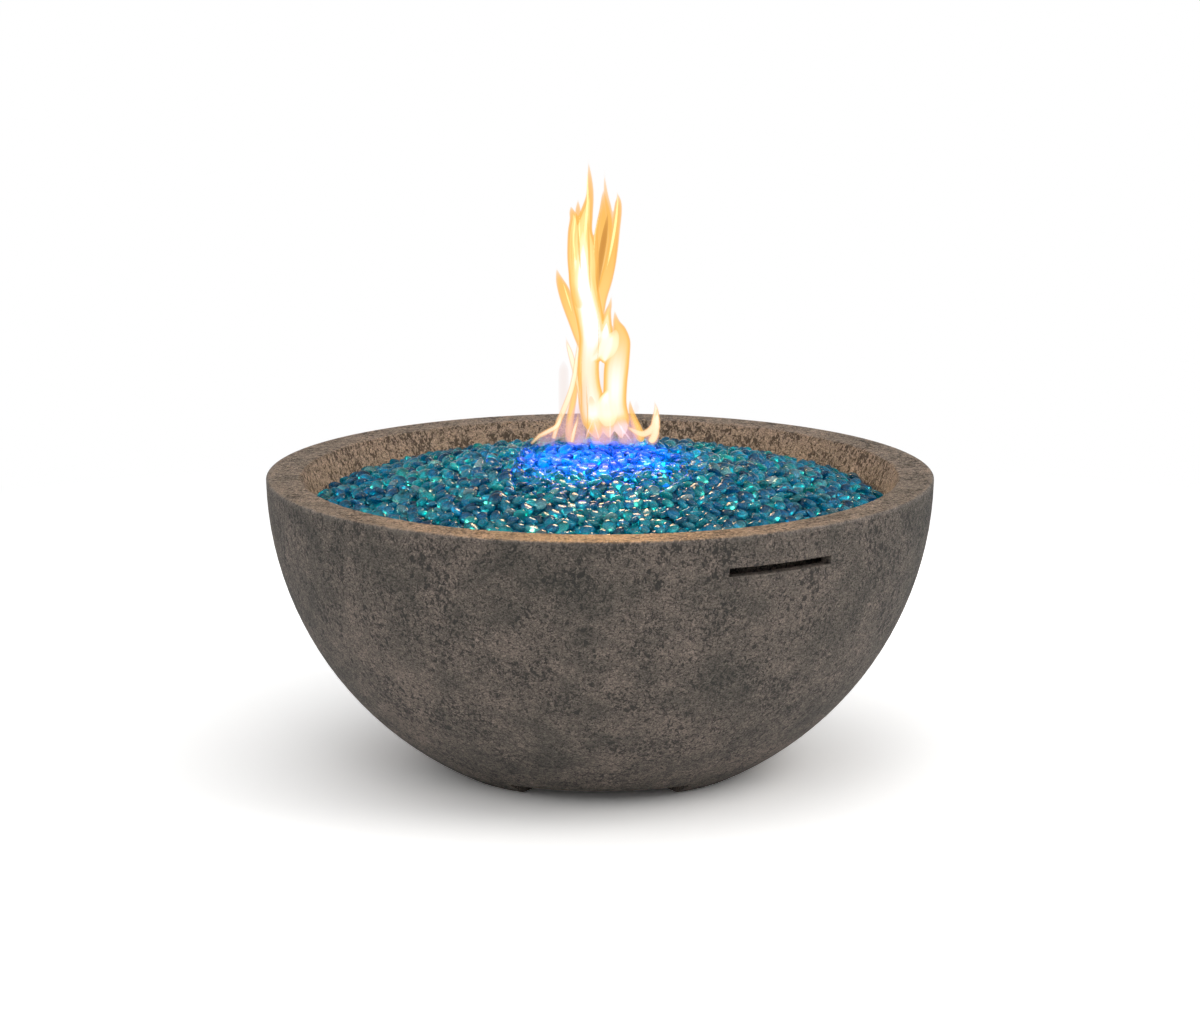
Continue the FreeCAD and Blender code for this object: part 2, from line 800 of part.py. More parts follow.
def valve_body():
    """Brass valve body: barrel across the key's axis and a neck for the stem."""
    half = valve_barrel_half_length
    body = side_rod(valve_barrel_radius, -half, half, -valve_setback)
    body = body.fuse(rod(valve_neck_radius, -valve_setback, neck_top))
    body = body.cut(side_rod(valve_bore_radius, -ball_seat_reach, half, -valve_setback))
    body = body.cut(side_rod(valve_waterway_radius, -half, 0, -valve_setback))
    plug = adapter_plug_radius + thread_gap
    body = body.cut(side_rod(plug, -half, adapter_plug_length - half, -valve_setback))
    body = body.cut(rod(stem_radius + running_gap, -valve_setback, neck_top))
    return whole(body.cut(rod(packing_recess_radius, packing_floor, neck_top)))


def valve_end_cap():
    """Threaded cap that closes the barrel behind the ball and takes the supply."""
    half = valve_barrel_half_length
    cap = side_rod(valve_bore_radius - thread_gap, ball_seat_reach, half, -valve_setback)
    flange_place = Vector(half, 0, -valve_setback)
    flange = facing(hexagon(end_cap_flats, 0, end_cap_flange), flange_place, Vector(1, 0, 0))
    cap = cap.fuse(flange)
    cap = cap.cut(side_rod(valve_waterway_radius, 0, cap_end, -valve_setback))
    plug = adapter_plug_radius + thread_gap
    return whole(cap.cut(side_rod(plug, cap_end - adapter_plug_length, cap_end, -valve_setback)))


def valve_ball():
    """Bored ball, open towards both hoses at rest."""
    ball = Part.makeSphere(valve_ball_radius, Vector(0, 0, -valve_setback))
    ball = ball.cut(side_rod(valve_waterway_radius, -valve_ball_radius, valve_ball_radius, -valve_setback))
    top = valve_ball_radius - valve_setback
    slot = block(valve_ball_radius * 2, ball_slot_width, top - ball_slot_depth, top + ball_slot_depth)
    return whole(ball.cut(slot))


def ball_seats():
    """Ring seats on both sides of the ball."""
    seats = []
    room = Part.makeSphere(valve_ball_radius + running_gap, Vector(0, 0, -valve_setback))
    for side in (-1, 1):
        low, high = sorted((side * ball_seat_inner_reach, side * ball_seat_reach))
        ring = side_rod(valve_bore_radius - thread_gap, low, high, -valve_setback)
        ring = ring.cut(side_rod(valve_waterway_radius, low, high, -valve_setback))
        seats.append(whole(ring.cut(room)))
    return Part.makeCompound(seats)


def valve_stem():
    """Stem with a tang in the ball's slot and a square end for the key."""
    shaft_low = valve_ball_radius - valve_setback + running_gap
    tang_low = shaft_low - ball_slot_depth
    width = ball_slot_width - 2 * running_gap
    tang = block(2 * stem_radius, width, tang_low, shaft_low)
    tang = tang.common(rod(stem_radius, tang_low, shaft_low))
    shaft = rod(stem_radius, shaft_low, stem_shoulder)
    square = block(stem_square, stem_square, stem_shoulder, stem_end)
    return whole(tang.fuse(shaft).fuse(square))


def stem_packing():
    """Packing ring around the stem, under its nut."""
    inner = stem_radius + running_gap
    outer = packing_recess_radius - thread_gap
    return tube(outer, inner, packing_floor, packing_nut_low)


def packing_nut():
    """Gland nut that presses the packing and keeps the stem in."""
    nut = rod(packing_recess_radius - thread_gap, packing_nut_low, neck_top)
    nut = nut.fuse(hexagon(packing_nut_flats, neck_top, neck_top + packing_nut_height))
    top = neck_top + packing_nut_height
    return whole(nut.cut(rod(stem_radius + running_gap, packing_nut_low, top)))


def valve_sleeve():
    """Threaded sleeve from the valve's neck out through the wall."""
    return tube(sleeve_radius, valve_neck_radius + thread_gap, sleeve_low, sleeve_stand)


def jam_washer():
    """Washer between the wall's inner seat and the jam nut."""
    top = wall_inner_seat
    return tube(jam_washer_radius, sleeve_radius + thread_gap, top - jam_washer_thickness, top)


def jam_nut():
    """Nut that clamps the sleeve in the wall against the escutcheon."""
    top = wall_inner_seat - jam_washer_thickness
    nut = hexagon(jam_nut_flats, top - jam_nut_height, top)
    return whole(nut.cut(rod(sleeve_radius + thread_gap, top - jam_nut_height, top)))


def escutcheon():
    """Round cover plate on the wall, screwed on the sleeve, with the key's mouth."""
    plate = turned_loop([
        (sleeve_radius + thread_gap, 0),
        (escutcheon_radius, 0),
        (escutcheon_radius, escutcheon_edge),
        (escutcheon_flat_radius, escutcheon_height),
        (escutcheon_mouth_radius, escutcheon_height),
        (escutcheon_mouth_radius, sleeve_stand + thread_gap),
        (sleeve_radius + thread_gap, sleeve_stand + thread_gap),
    ])
    return plate


def valve_key():
    """Loose key: square socket on the stem, round shank and flat grip."""
    low = stem_shoulder + key_end_gap
    grip_low = low + key_length
    shank = rod(key_radius, low, grip_low)
    side = stem_square + 2 * key_square_gap
    shank = shank.cut(block(side, side, low, stem_end + key_end_gap))
    grip = block(key_grip_width, key_grip_thickness, grip_low, grip_low + key_grip_height)
    corners = [
        e for e in grip.Edges
        if abs(e.BoundBox.YLength - key_grip_thickness) < 0.01 and e.BoundBox.XLength < 0.01
    ]
    grip = grip.makeFillet(key_grip_round, corners)
    return whole(shank.fuse(grip))


def inlet_strap():
    """Steel strap across the floor hole that carries the gas inlet."""
    length = 2 * (strap_screw_reach + strap_end_margin)
    strap = block(strap_width, length, floor_top, strap_top)
    strap = strap.cut(rod(coupling_radius + thread_gap, floor_top, strap_top))
    return whole(strap.cut(at_strap_ends(rod(strap_screw_radius + seat_gap, floor_top, strap_top))))


def strap_screw():
    head = hexagon(strap_screw_flats, strap_top, strap_top + strap_screw_head)
    shank_low = strap_top - strap_thickness - strap_screw_length
    return whole(head.fuse(rod(strap_screw_radius, shank_low, strap_top)))


def strap_screws():
    """Hexagon screws at the two ends of the strap."""
    return Part.makeCompound(at_strap_ends(strap_screw()))


def at_strap_ends(shape):
    """Two copies of a piece made on the axis, at the strap's two screws."""
    return [shape.translated(Vector(0, side * strap_screw_reach, 0)) for side in (-1, 1)]


def floor_inserts():
    """Threaded brass inserts cast in the floor."""
    insert = tube(insert_radius, strap_screw_radius + thread_gap, floor_top - insert_length, floor_top)
    return Part.makeCompound(at_strap_ends(insert))


def inlet_coupling():
    """Coupling through the strap: pipe thread below, plug socket above."""
    body = rod(coupling_radius, coupling_bottom, coupling_top)
    body = body.fuse(hexagon(coupling_flats, strap_top, strap_top + coupling_flange))
    body = body.cut(rod(inlet_thread_radius, coupling_bottom, coupling_bottom + inlet_thread_length))
    body = body.cut(rod(adapter_bore_radius, coupling_bottom, coupling_top))
    plug = adapter_plug_radius + thread_gap
    return whole(body.cut(rod(plug, coupling_top - adapter_plug_length, coupling_top)))


def coupling_nut():
    """Nut that clamps the coupling to the strap from below."""
    nut = hexagon(coupling_flats, floor_top - coupling_nut_height, floor_top)
    return whole(nut.cut(rod(coupling_radius + thread_gap, coupling_bottom, floor_top)))


def inlet_elbow():
    """Brass elbow from the coupling to the supply hose."""
    end = elbow_outlet.x
    body = rod(adapter_plug_radius, coupling_top - adapter_plug_length, coupling_top)
    body = body.fuse(rod(elbow_radius, coupling_top, elbow_z))
    body = body.fuse(Part.makeSphere(elbow_radius, Vector(0, 0, elbow_z)))
    body = body.fuse(side_rod(elbow_radius, 0, end - adapter_stub_length, elbow_z))
    body = body.fuse(side_rod(hose_radius, 0, end, elbow_z))
    body = body.cut(rod(adapter_bore_radius, coupling_top - adapter_plug_length, elbow_z))
    return whole(body.cut(side_rod(adapter_bore_radius, 0, end, elbow_z)))


parts = {
    "bowl_shell": bowl_shell(),
    "burner_pan": burner_pan(),
    "lava_gravel": lava_gravel(),
    "glass_bed": glass_bed(),
    "burner_outer_ring": burner_outer_ring(),
    "burner_inner_ring": burner_inner_ring(),
    "burner_spokes": burner_spokes(),
    "burner_hub": burner_hub(),
    "riser_pipe": riser_pipe(),
    "pan_locknuts": pan_locknuts(),
    "pan_washers": pan_washers(),
    "mixer_body": mixer_body(),
    "air_shutter": air_shutter(),
    "shutter_screw": shutter_screw(),
    "shutter_ring": shutter_ring(),
    "gas_jet": gas_jet(),
    "burner_hose": burner_hose(),
    "supply_hose": supply_hose(),
    "valve_body": at_valve(valve_body()),
    "valve_end_cap": at_valve(valve_end_cap()),
    "valve_ball": at_valve(valve_ball()),
    "ball_seats": at_valve(ball_seats()),
    "valve_stem": at_valve(valve_stem()),
    "stem_packing": at_valve(stem_packing()),
    "packing_nut": at_valve(packing_nut()),
    "valve_sleeve": at_valve(valve_sleeve()),
    "jam_washer": at_valve(jam_washer()),
    "jam_nut": at_valve(jam_nut()),
    "escutcheon": at_valve(escutcheon()),
    "valve_key": at_valve(valve_key()),
    "inlet_strap": inlet_strap(),
    "strap_screws": strap_screws(),
    "floor_inserts": floor_inserts(),
    "inlet_coupling": inlet_coupling(),
    "coupling_nut": coupling_nut(),
    "inlet_elbow": inlet_elbow(),
}
for name, (place, way) in hose_ends.items():
    parts[name + "_hose_nut"] = facing(hose_nut(), place, way)
for name in ("mixer", "valve_outlet", "valve_inlet"):
    parts[name + "_adapter"] = facing(hose_adapter(), *hose_ends[name])

os.makedirs("parts", exist_ok=True)
for name, shape in parts.items():
    if not shape.isValid():
        raise ValueError(name + " is not a valid shape")
    shape.exportStep("parts/" + name + ".step")
    print(name, len(shape.Solids), round(shape.Volume / 1000, 2), "cm3")
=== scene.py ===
import math

import bpy
import numpy as np
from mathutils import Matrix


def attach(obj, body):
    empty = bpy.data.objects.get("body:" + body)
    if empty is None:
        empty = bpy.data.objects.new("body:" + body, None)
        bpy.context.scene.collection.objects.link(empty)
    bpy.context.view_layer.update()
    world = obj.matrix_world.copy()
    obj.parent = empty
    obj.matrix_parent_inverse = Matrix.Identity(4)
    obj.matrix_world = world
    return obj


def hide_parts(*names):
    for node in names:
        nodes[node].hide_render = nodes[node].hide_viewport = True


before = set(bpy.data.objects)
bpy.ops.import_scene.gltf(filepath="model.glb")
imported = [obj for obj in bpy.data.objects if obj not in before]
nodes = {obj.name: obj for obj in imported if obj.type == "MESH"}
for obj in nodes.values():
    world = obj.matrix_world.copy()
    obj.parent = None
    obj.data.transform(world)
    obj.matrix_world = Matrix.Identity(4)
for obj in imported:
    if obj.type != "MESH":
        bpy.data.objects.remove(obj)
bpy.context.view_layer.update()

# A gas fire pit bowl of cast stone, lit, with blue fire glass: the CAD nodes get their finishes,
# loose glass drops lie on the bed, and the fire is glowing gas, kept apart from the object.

scene = bpy.context.scene
scene.view_settings.view_transform = "Standard"


# Shader building

def node(tree, kind, sockets=None, **settings):
    """A shader node with its settings, and with numbers or other sockets on its inputs."""
    made = tree.nodes.new("ShaderNode" + kind)
    for name, value in settings.items():
        setattr(made, name, value)
    for key, value in (sockets or {}).items():
        socket = made.inputs[key]
        if isinstance(value, bpy.types.NodeSocket):
            tree.links.new(value, socket)
        elif socket.type == "RGBA":
            socket.default_value = (*value[:3], 1.0)
        else:
            socket.default_value = value
    return made


def maths(tree, operation, *values):
    """A Math node's result."""
    return node(tree, "Math", dict(enumerate(values)), operation=operation).outputs[0]


def noise(tree, spot, scale, detail=2.0, roughness=0.5, distortion=0.0):
    """Cloudy noise from 0 to 1."""
    sockets = {"Vector": spot, "Scale": scale, "Detail": detail,
               "Roughness": roughness, "Distortion": distortion}
    return node(tree, "TexNoise", sockets).outputs[0]


def span(tree, value, start, end, low=0.0, high=1.0):
    """Takes start..end to low..high in a straight line, and holds there."""
    sockets = {"Value": value, "From Min": start, "From Max": end, "To Min": low, "To Max": high}
    return node(tree, "MapRange", sockets).outputs[0]


def ramp(tree, value, *stops):
    """Colours along a value. A stop is a place and its colour."""
    made = node(tree, "ValToRGB", {"Fac": value})
    points = made.color_ramp.elements
    points[0].position, points[1].position = stops[0][0], stops[-1][0]
    for place, _ in stops[1:-1]:
        points.new(place)
    for point, (_, colour) in zip(points, stops):
        point.color = (*colour, 1.0)
    return made.outputs["Color"]


def mix(tree, factor, a, b, blend="MIX"):
    """From colour a at factor 0 to colour b at 1."""
    sockets = {0: factor, 6: a, 7: b}
    return node(tree, "Mix", sockets, data_type="RGBA", blend_type=blend).outputs[2]


def shade(tree, colour, value):
    """A colour times a grey value."""
    grey = node(tree, "CombineColor", {0: value, 1: value, 2: value}).outputs[0]
    return mix(tree, 1.0, colour, grey, "MULTIPLY")


def stretched(tree, spot, x, y, z):
    """Coordinates scaled along each axis."""
    return node(tree, "Mapping", {"Vector": spot, "Scale": (x, y, z)}).outputs[0]


def surface(name, **numbers):
    """A new material, its node tree, its Principled shader and its object coordinates."""
    made = bpy.data.materials.new(name)
    made.use_nodes = True
    tree = made.node_tree
    shader = tree.nodes["Principled BSDF"]
    for key, value in numbers.items():
        shader.inputs[key.replace("_", " ").title().replace("Ior", "IOR")].default_value = value
    spot = node(tree, "TexCoord").outputs["Object"]
    return made, tree, shader, spot


def gas(name, absorbed, density, shone, strength):
    """A material with no surface, whose inside absorbs light and glows."""
    made = bpy.data.materials.new(name)
    made.use_nodes = True
    tree = made.node_tree
    tree.nodes.clear()
    soak = node(tree, "VolumeAbsorption", {"Color": absorbed, "Density": density})
    shine = node(tree, "Emission", {"Color": shone, "Strength": strength})
    both = node(tree, "AddShader", {0: soak.outputs[0], 1: shine.outputs[0]})
    node(tree, "OutputMaterial", {"Volume": both.outputs[0]})
    return made


def wire(tree, shader, colour, roughness, height, depth, strength=1.0):
    """Colour, roughness and bump into a Principled shader. The bump's depth is in metres."""
    tree.links.new(colour, shader.inputs["Base Color"])
    tree.links.new(roughness, shader.inputs["Roughness"])
    bump = node(tree, "Bump", {"Height": height, "Distance": depth, "Strength": strength})
    tree.links.new(bump.outputs[0], shader.inputs["Normal"])


# Materials

# Where the finish changes on the bowl and where the rim top is painted paler as painted light, in
# metres, and the stone's colours
RIM_HEIGHT = 0.4064
RIM_RADIUS = 0.4552
LIP_INNER = (0.4065, 0.4100)
LIP_FOOT = (0.345, 0.355)
TOP_LIGHT_LOW = 0.0035
TOP_LIGHT_HIGH = 0.0010
RIM_ZONE = (0.31, 0.395)
EDGE_PALE_REACH = 0.009
STONE_TONES = ((0.0, (0.092, 0.081, 0.067)), (0.35, (0.135, 0.114, 0.095)),
               (0.65, (0.182, 0.148, 0.124)), (1.0, (0.236, 0.189, 0.157)))
# STONE_PALE is the inner lip's own sandy colour, and on the flat rim top it is painted top light
STONE_PALE = (0.34, 0.298, 0.25)
STONE_EDGE_PALE = (0.36, 0.31, 0.27)
STONE_PIT = (0.030, 0.028, 0.025)
STONE_PORE = (0.045, 0.041, 0.036)


def length(tree, a, b):
    """The long side of a right triangle with the sides a and b."""
    squares = [maths(tree, "MULTIPLY", side, side) for side in (a, b)]
    return maths(tree, "SQRT", maths(tree, "ADD", *squares))


def stone():
    """Cast stone: clouds of grey and warm brown, dark pits in patches, fine grain, a pale sandy
    inner lip, a rim top painted paler as painted top light, and a paler outer rim edge.
    """
    made, tree, shader, spot = surface("cast_stone", specular_ior_level=0.5, diffuse_roughness=0.9)
    place = node(tree, "SeparateXYZ", {0: spot})
    x, y, z = place.outputs
    radius = length(tree, x, y)
    lip = maths(tree, "MULTIPLY", span(tree, radius, *LIP_INNER, 1.0, 0.0),
                span(tree, z, *LIP_FOOT))
    clouds = noise(tree, spot, 6.5, 4.0, 0.6, 0.7)
    patches = noise(tree, stretched(tree, spot, 1.0, 1.0, 1.25), 30.0, 4.0, 0.62, 0.3)
    grain = noise(tree, spot, 430.0, 3.0, 0.75)
    fibre = noise(tree, stretched(tree, spot, 1.0, 1.0, 1.5), 215.0, 3.0, 0.70, 1.6)
    tone = maths(tree, "ADD", maths(tree, "MULTIPLY", clouds, 1.5), patches)
    tone = maths(tree, "ADD", span(tree, tone, 0.94, 1.60),
                 span(tree, fibre, 0.36, 0.64, -0.30, 0.30))
    colour = ramp(tree, tone, *STONE_TONES)
    # Painted light: the flat rim top is made paler, as if lit from above. The inner lip's paler
    # sand colour is its own
    crown = span(tree, z, RIM_HEIGHT - TOP_LIGHT_LOW, RIM_HEIGHT - TOP_LIGHT_HIGH)
    pale = maths(tree, "MAXIMUM", maths(tree, "MULTIPLY", lip, 0.58),
                 maths(tree, "MULTIPLY", crown, 0.37))
    colour = mix(tree, pale, colour, STONE_PALE)
    grit = maths(tree, "ADD", span(tree, grain, 0.3, 0.7, -0.46, 0.46),
                 span(tree, fibre, 0.36, 0.64, -0.56, 0.56))
    colour = shade(tree, colour, maths(tree, "MAXIMUM", maths(tree, "ADD", grit, 1.04), 0.22))
    pits = noise(tree, stretched(tree, spot, 1.0, 1.0, 0.7), 185.0, 3.0, 0.66, 0.8)
    where = noise(tree, spot, 17.0, 3.0, 0.6)
    gate = maths(tree, "ADD", span(tree, where, 0.42, 0.62, 0.0, 0.088),
                 maths(tree, "MULTIPLY", lip, 0.032))
    gate = maths(tree, "ADD", gate, span(tree, z, *RIM_ZONE, 0.0, 0.018))
    pitted = span(tree, maths(tree, "ADD", pits, gate), 0.592, 0.634)
    colour = mix(tree, maths(tree, "MULTIPLY", pitted, 0.88), colour, STONE_PIT)
    pores = span(tree, noise(tree, spot, 290.0, 2.0, 0.6), 0.60, 0.70)
    colour = mix(tree, maths(tree, "MULTIPLY", pores, 0.6), colour, STONE_PORE)
    # Paler towards the rim's outer edge, in a ragged band
    away = length(tree, maths(tree, "SUBTRACT", radius, RIM_RADIUS),
                  maths(tree, "SUBTRACT", z, RIM_HEIGHT))
    away = maths(tree, "ADD", away, span(tree, patches, 0.3, 0.7, -0.003, 0.005))
    edge_pale = span(tree, away, 0.0, EDGE_PALE_REACH, 0.30, 0.0)
    colour = mix(tree, edge_pale, colour, STONE_EDGE_PALE)
    rough = span(tree, grain, 0.3, 0.7, 0.72, 0.95)
    height = maths(tree, "ADD", maths(tree, "MULTIPLY", grit, 0.8),
                   maths(tree, "MULTIPLY", maths(tree, "ADD", pitted, pores), -0.9))
    height = maths(tree, "ADD", height, maths(tree, "MULTIPLY", patches, 1.2))
    wire(tree, shader, colour, rough, height, 0.0011, 0.75)
    return made


GRAIN = (1.0, 1.0, 9.0)


def metal(name, tint, smooth, dull, mark=(0.25, 0.22, 0.19), marks=0.35):
    """Brushed metal with fine lines along its grain, smudges and small dull marks."""
    made, tree, shader, spot = surface(name, metallic=1.0)
    lines = noise(tree, stretched(tree, spot, *GRAIN), 260.0, 3.0, 0.65)
    smudge = noise(tree, spot, 42.0, 4.0, 0.6, 0.5)
    spots = span(tree, noise(tree, spot, 170.0, 3.0, 0.7), 0.58, 0.70)
    colour = shade(tree, tint, span(tree, smudge, 0.3, 0.7, 0.82, 1.12))
    colour = shade(tree, colour, span(tree, lines, 0.3, 0.7, 0.9, 1.08))
    colour = mix(tree, maths(tree, "MULTIPLY", spots, marks), colour, mark)
    rough = maths(tree, "ADD", span(tree, smudge, 0.3, 0.7, smooth, dull),
                  span(tree, lines, 0.3, 0.7, -0.05, 0.06))
    height = maths(tree, "SUBTRACT", lines, maths(tree, "MULTIPLY", spots, 0.5))
    wire(tree, shader, colour, rough, height, 0.00012, 0.6)
    return made


def sheet_zinc(name):
    """Zinc-coated sheet with its crystal pattern."""
    made, tree, shader, spot = surface(name, metallic=1.0)
    warp = noise(tree, spot, 60.0, 3.0, 0.6)
    cells = node(tree, "TexVoronoi", {"Vector": spot, "Scale": 95.0, "Randomness": 1.0})
    crystal = node(tree, "SeparateColor", {0: cells.outputs["Color"]}).outputs[0]
    stain = span(tree, noise(tree, spot, 14.0, 5.0, 0.65), 0.45, 0.75)
    colour = ramp(tree, crystal, (0.0, (0.42, 0.43, 0.44)), (0.5, (0.55, 0.56, 0.57)),
                  (1.0, (0.68, 0.69, 0.69)))
    colour = mix(tree, maths(tree, "MULTIPLY", stain, 0.4), colour, (0.30, 0.27, 0.23))
    rough = maths(tree, "ADD", span(tree, crystal, 0.0, 1.0, 0.30, 0.46),
                  span(tree, warp, 0.3, 0.7, -0.04, 0.08))
    wire(tree, shader, colour, rough, maths(tree, "ADD", crystal, warp), 0.0001, 0.5)
    return made


def hot_steel(name):
    """Burner tube: brushed stainless steel with straw and blue heat tints and soot."""
    made, tree, shader, spot = surface(name, metallic=1.0)
    heat = noise(tree, spot, 11.0, 3.0, 0.55, 0.8)
    lines = noise(tree, stretched(tree, spot, 1.0, 1.0, 6.0), 240.0, 3.0, 0.6)
    soot = span(tree, noise(tree, spot, 38.0, 5.0, 0.7), 0.50, 0.72)
    colour = ramp(tree, heat, (0.32, (0.58, 0.57, 0.55)), (0.46, (0.55, 0.44, 0.27)),
                  (0.56, (0.36, 0.22, 0.24)), (0.66, (0.19, 0.22, 0.36)))
    colour = shade(tree, colour, span(tree, lines, 0.3, 0.7, 0.86, 1.1))
    colour = mix(tree, maths(tree, "MULTIPLY", soot, 0.8), colour, (0.03, 0.028, 0.026))
    rough = maths(tree, "ADD", span(tree, lines, 0.3, 0.7, 0.24, 0.36),
                  maths(tree, "MULTIPLY", soot, 0.4))
    wire(tree, shader, colour, rough, lines, 0.0001, 0.6)
    return made


def braid(name):
    """Braided steel hose: two crossing sets of fine wires with dark gaps."""
    made, tree, shader, spot = surface(name, metallic=0.9)
    sides = []
    for lean in ((0.6, 0.6, 1.0), (0.6, 0.6, -1.0)):
        band = node(tree, "TexWave", {"Vector": stretched(tree, spot, *lean), "Scale": 105.0,
                                      "Distortion": 0.6, "Detail": 1.0, "Detail Scale": 2.0},
                    bands_direction="DIAGONAL")
        sides.append(band.outputs["Fac"])
    weave = maths(tree, "MAXIMUM", *sides)
    dirt = span(tree, noise(tree, spot, 55.0, 4.0, 0.65), 0.45, 0.75)
    colour = ramp(tree, weave, (0.35, (0.07, 0.07, 0.075)), (0.62, (0.42, 0.42, 0.42)),
                  (0.9, (0.66, 0.66, 0.65)))
    colour = mix(tree, maths(tree, "MULTIPLY", dirt, 0.35), colour, (0.16, 0.14, 0.12))
    rough = span(tree, weave, 0.3, 0.9, 0.55, 0.27)
    wire(tree, shader, colour, rough, weave, 0.0006, 0.9)
    return made


def lava():
    """Porous lava gravel: dark red-brown lumps with open bubbles, and painted shade, nearly black,
    in the gaps between the lumps and in the bubbles.
    """
    made, tree, shader, spot = surface("lava_rock", roughness=0.95, specular_ior_level=0.25)
    lumps = node(tree, "TexVoronoi", {"Vector": spot, "Scale": 62.0, "Randomness": 1.0})
    gaps = node(tree, "TexVoronoi", {"Vector": spot, "Scale": 62.0, "Randomness": 1.0},
                feature="DISTANCE_TO_EDGE")
    bubbles = node(tree, "TexVoronoi", {"Vector": spot, "Scale": 330.0, "Randomness": 1.0})
    lump = node(tree, "SeparateColor", {0: lumps.outputs["Color"]}).outputs[0]
    grain = noise(tree, spot, 210.0, 4.0, 0.7)
    inside = span(tree, gaps.outputs["Distance"], 0.0, 0.14)
    hole = span(tree, bubbles.outputs["Distance"], 0.18, 0.42)
    colour = ramp(tree, lump, (0.0, (0.045, 0.034, 0.030)), (0.5, (0.105, 0.052, 0.040)),
                  (1.0, (0.150, 0.088, 0.066)))
    colour = shade(tree, colour, span(tree, grain, 0.3, 0.7, 0.7, 1.3))
    # Painted shade: nearly black in the gaps between lumps and in the open bubbles
    colour = mix(tree, maths(tree, "MULTIPLY", inside, hole), (0.012, 0.010, 0.010), colour)
    height = maths(tree, "ADD", maths(tree, "MULTIPLY", inside, 4.0), hole)
    wire(tree, shader, colour, span(tree, grain, 0.3, 0.7, 0.85, 1.0), height, 0.002, 0.9)
    return made


def plastic(name, tint):
    """Moulded seat plastic with a faint mottle and flow marks."""
    made, tree, shader, spot = surface(name, subsurface_weight=0.1)
    mottle = noise(tree, spot, 120.0, 3.0, 0.6)
    flow = noise(tree, stretched(tree, spot, 1.0, 1.0, 5.0), 300.0, 2.0, 0.5)
    colour = shade(tree, tint, span(tree, mottle, 0.3, 0.7, 0.88, 1.04))
    wire(tree, shader, colour, span(tree, flow, 0.3, 0.7, 0.38, 0.55), flow, 0.00005, 0.5)
    return made


def fire_glass():
    """Polished glass drops: each drop's own tint with its painted light edge and painted shade,
    with swirls and small seeds.
    """
    made, tree, shader, spot = surface("fire_glass_drops", transmission_weight=0.80, ior=1.45,
                                       specular_ior_level=0.32)
    # The tint attribute holds each drop's colour with its painted light and painted shade
    tint = node(tree, "Attribute", attribute_name="tint").outputs["Color"]
    swirl = noise(tree, spot, 190.0, 3.0, 0.55, 1.4)
    seeds = node(tree, "TexVoronoi", {"Vector": spot, "Scale": 420.0, "Randomness": 1.0})
    seed = span(tree, seeds.outputs["Distance"], 0.10, 0.22, 0.22, 0.0)
    colour = shade(tree, tint, span(tree, swirl, 0.3, 0.7, 0.66, 1.42))
    colour = mix(tree, seed, colour, (0.55, 0.80, 0.84))
    rough = span(tree, noise(tree, spot, 70.0, 2.0, 0.5), 0.35, 0.7, 0.03, 0.10)
    wire(tree, shader, colour, rough, swirl, 0.0004, 0.35)
    return made


def deep_glass():
    """The glass below the top drops: blue and teal glass, painted much darker than the drops as
    the shade deep among them, lumpy, with painted shade at each lump's edges.
    """
    made, tree, shader, spot = surface("fire_glass_deep", ior=1.5)
    drops = node(tree, "TexVoronoi", {"Vector": spot, "Scale": 58.0, "Randomness": 1.0})
    pick = node(tree, "SeparateColor", {0: drops.outputs["Color"]}).outputs[0]
    middle = span(tree, drops.outputs["Distance"], 0.15, 0.6, 1.0, 0.0)
    # Painted shade: these colours are much darker than the drops above, as deep among the drops
    colour = ramp(tree, pick, (0.0, (0.002, 0.070, 0.150)), (0.5, (0.004, 0.160, 0.290)),
                  (1.0, (0.010, 0.300, 0.440)))
    # Painted shade: each lump is darker at its edges and lighter in its middle
    colour = shade(tree, colour, span(tree, middle, 0.0, 1.0, 0.5, 1.3))
    rough = span(tree, noise(tree, spot, 120.0), 0.3, 0.7, 0.08, 0.22)
    wire(tree, shader, colour, rough, middle, 0.004, 0.9)
    return made


def dress(material, *names):
    """Puts a material on every slot of CAD nodes."""
    for name in names:
        for slot in nodes[name].material_slots:
            slot.material = material


dress(stone(), "bowl_shell")
dress(sheet_zinc("pan_sheet"), "burner_pan", "pan_washers")
dress(lava(), "lava_gravel")
dress(hot_steel("burner_tube"), "burner_outer_ring", "burner_inner_ring", "burner_spokes",
      "burner_hub")
dress(metal("pipe_steel", (0.42, 0.42, 0.41), smooth=0.36, dull=0.55), "riser_pipe",
      "pan_locknuts", "mixer_body", "jam_washer", "inlet_elbow", "inlet_coupling", "coupling_nut")
dress(metal("zinc_bright", (0.62, 0.63, 0.64), smooth=0.26, dull=0.40), "air_shutter",
      "shutter_ring", "shutter_screw", "inlet_strap", "strap_screws", "floor_inserts")
dress(metal("brass", (0.68, 0.46, 0.18), smooth=0.22, dull=0.38, mark=(0.24, 0.13, 0.05)),
      "gas_jet", "valve_body", "valve_end_cap", "valve_stem", "packing_nut", "valve_sleeve",
      "jam_nut", "mixer_hose_nut", "valve_outlet_hose_nut", "valve_inlet_hose_nut",
      "elbow_hose_nut", "mixer_adapter", "valve_outlet_adapter", "valve_inlet_adapter")
dress(metal("chrome", (0.72, 0.72, 0.72), smooth=0.08, dull=0.17, marks=0.12), "valve_ball")
dress(metal("satin_nickel", (0.34, 0.325, 0.30), smooth=0.20, dull=0.33, marks=0.2),
      "escutcheon", "valve_key")
dress(braid("braided_hose"), "burner_hose", "supply_hose")
dress(plastic("seat_plastic", (0.78, 0.77, 0.73)), "ball_seats", "stem_packing")


# Meshes

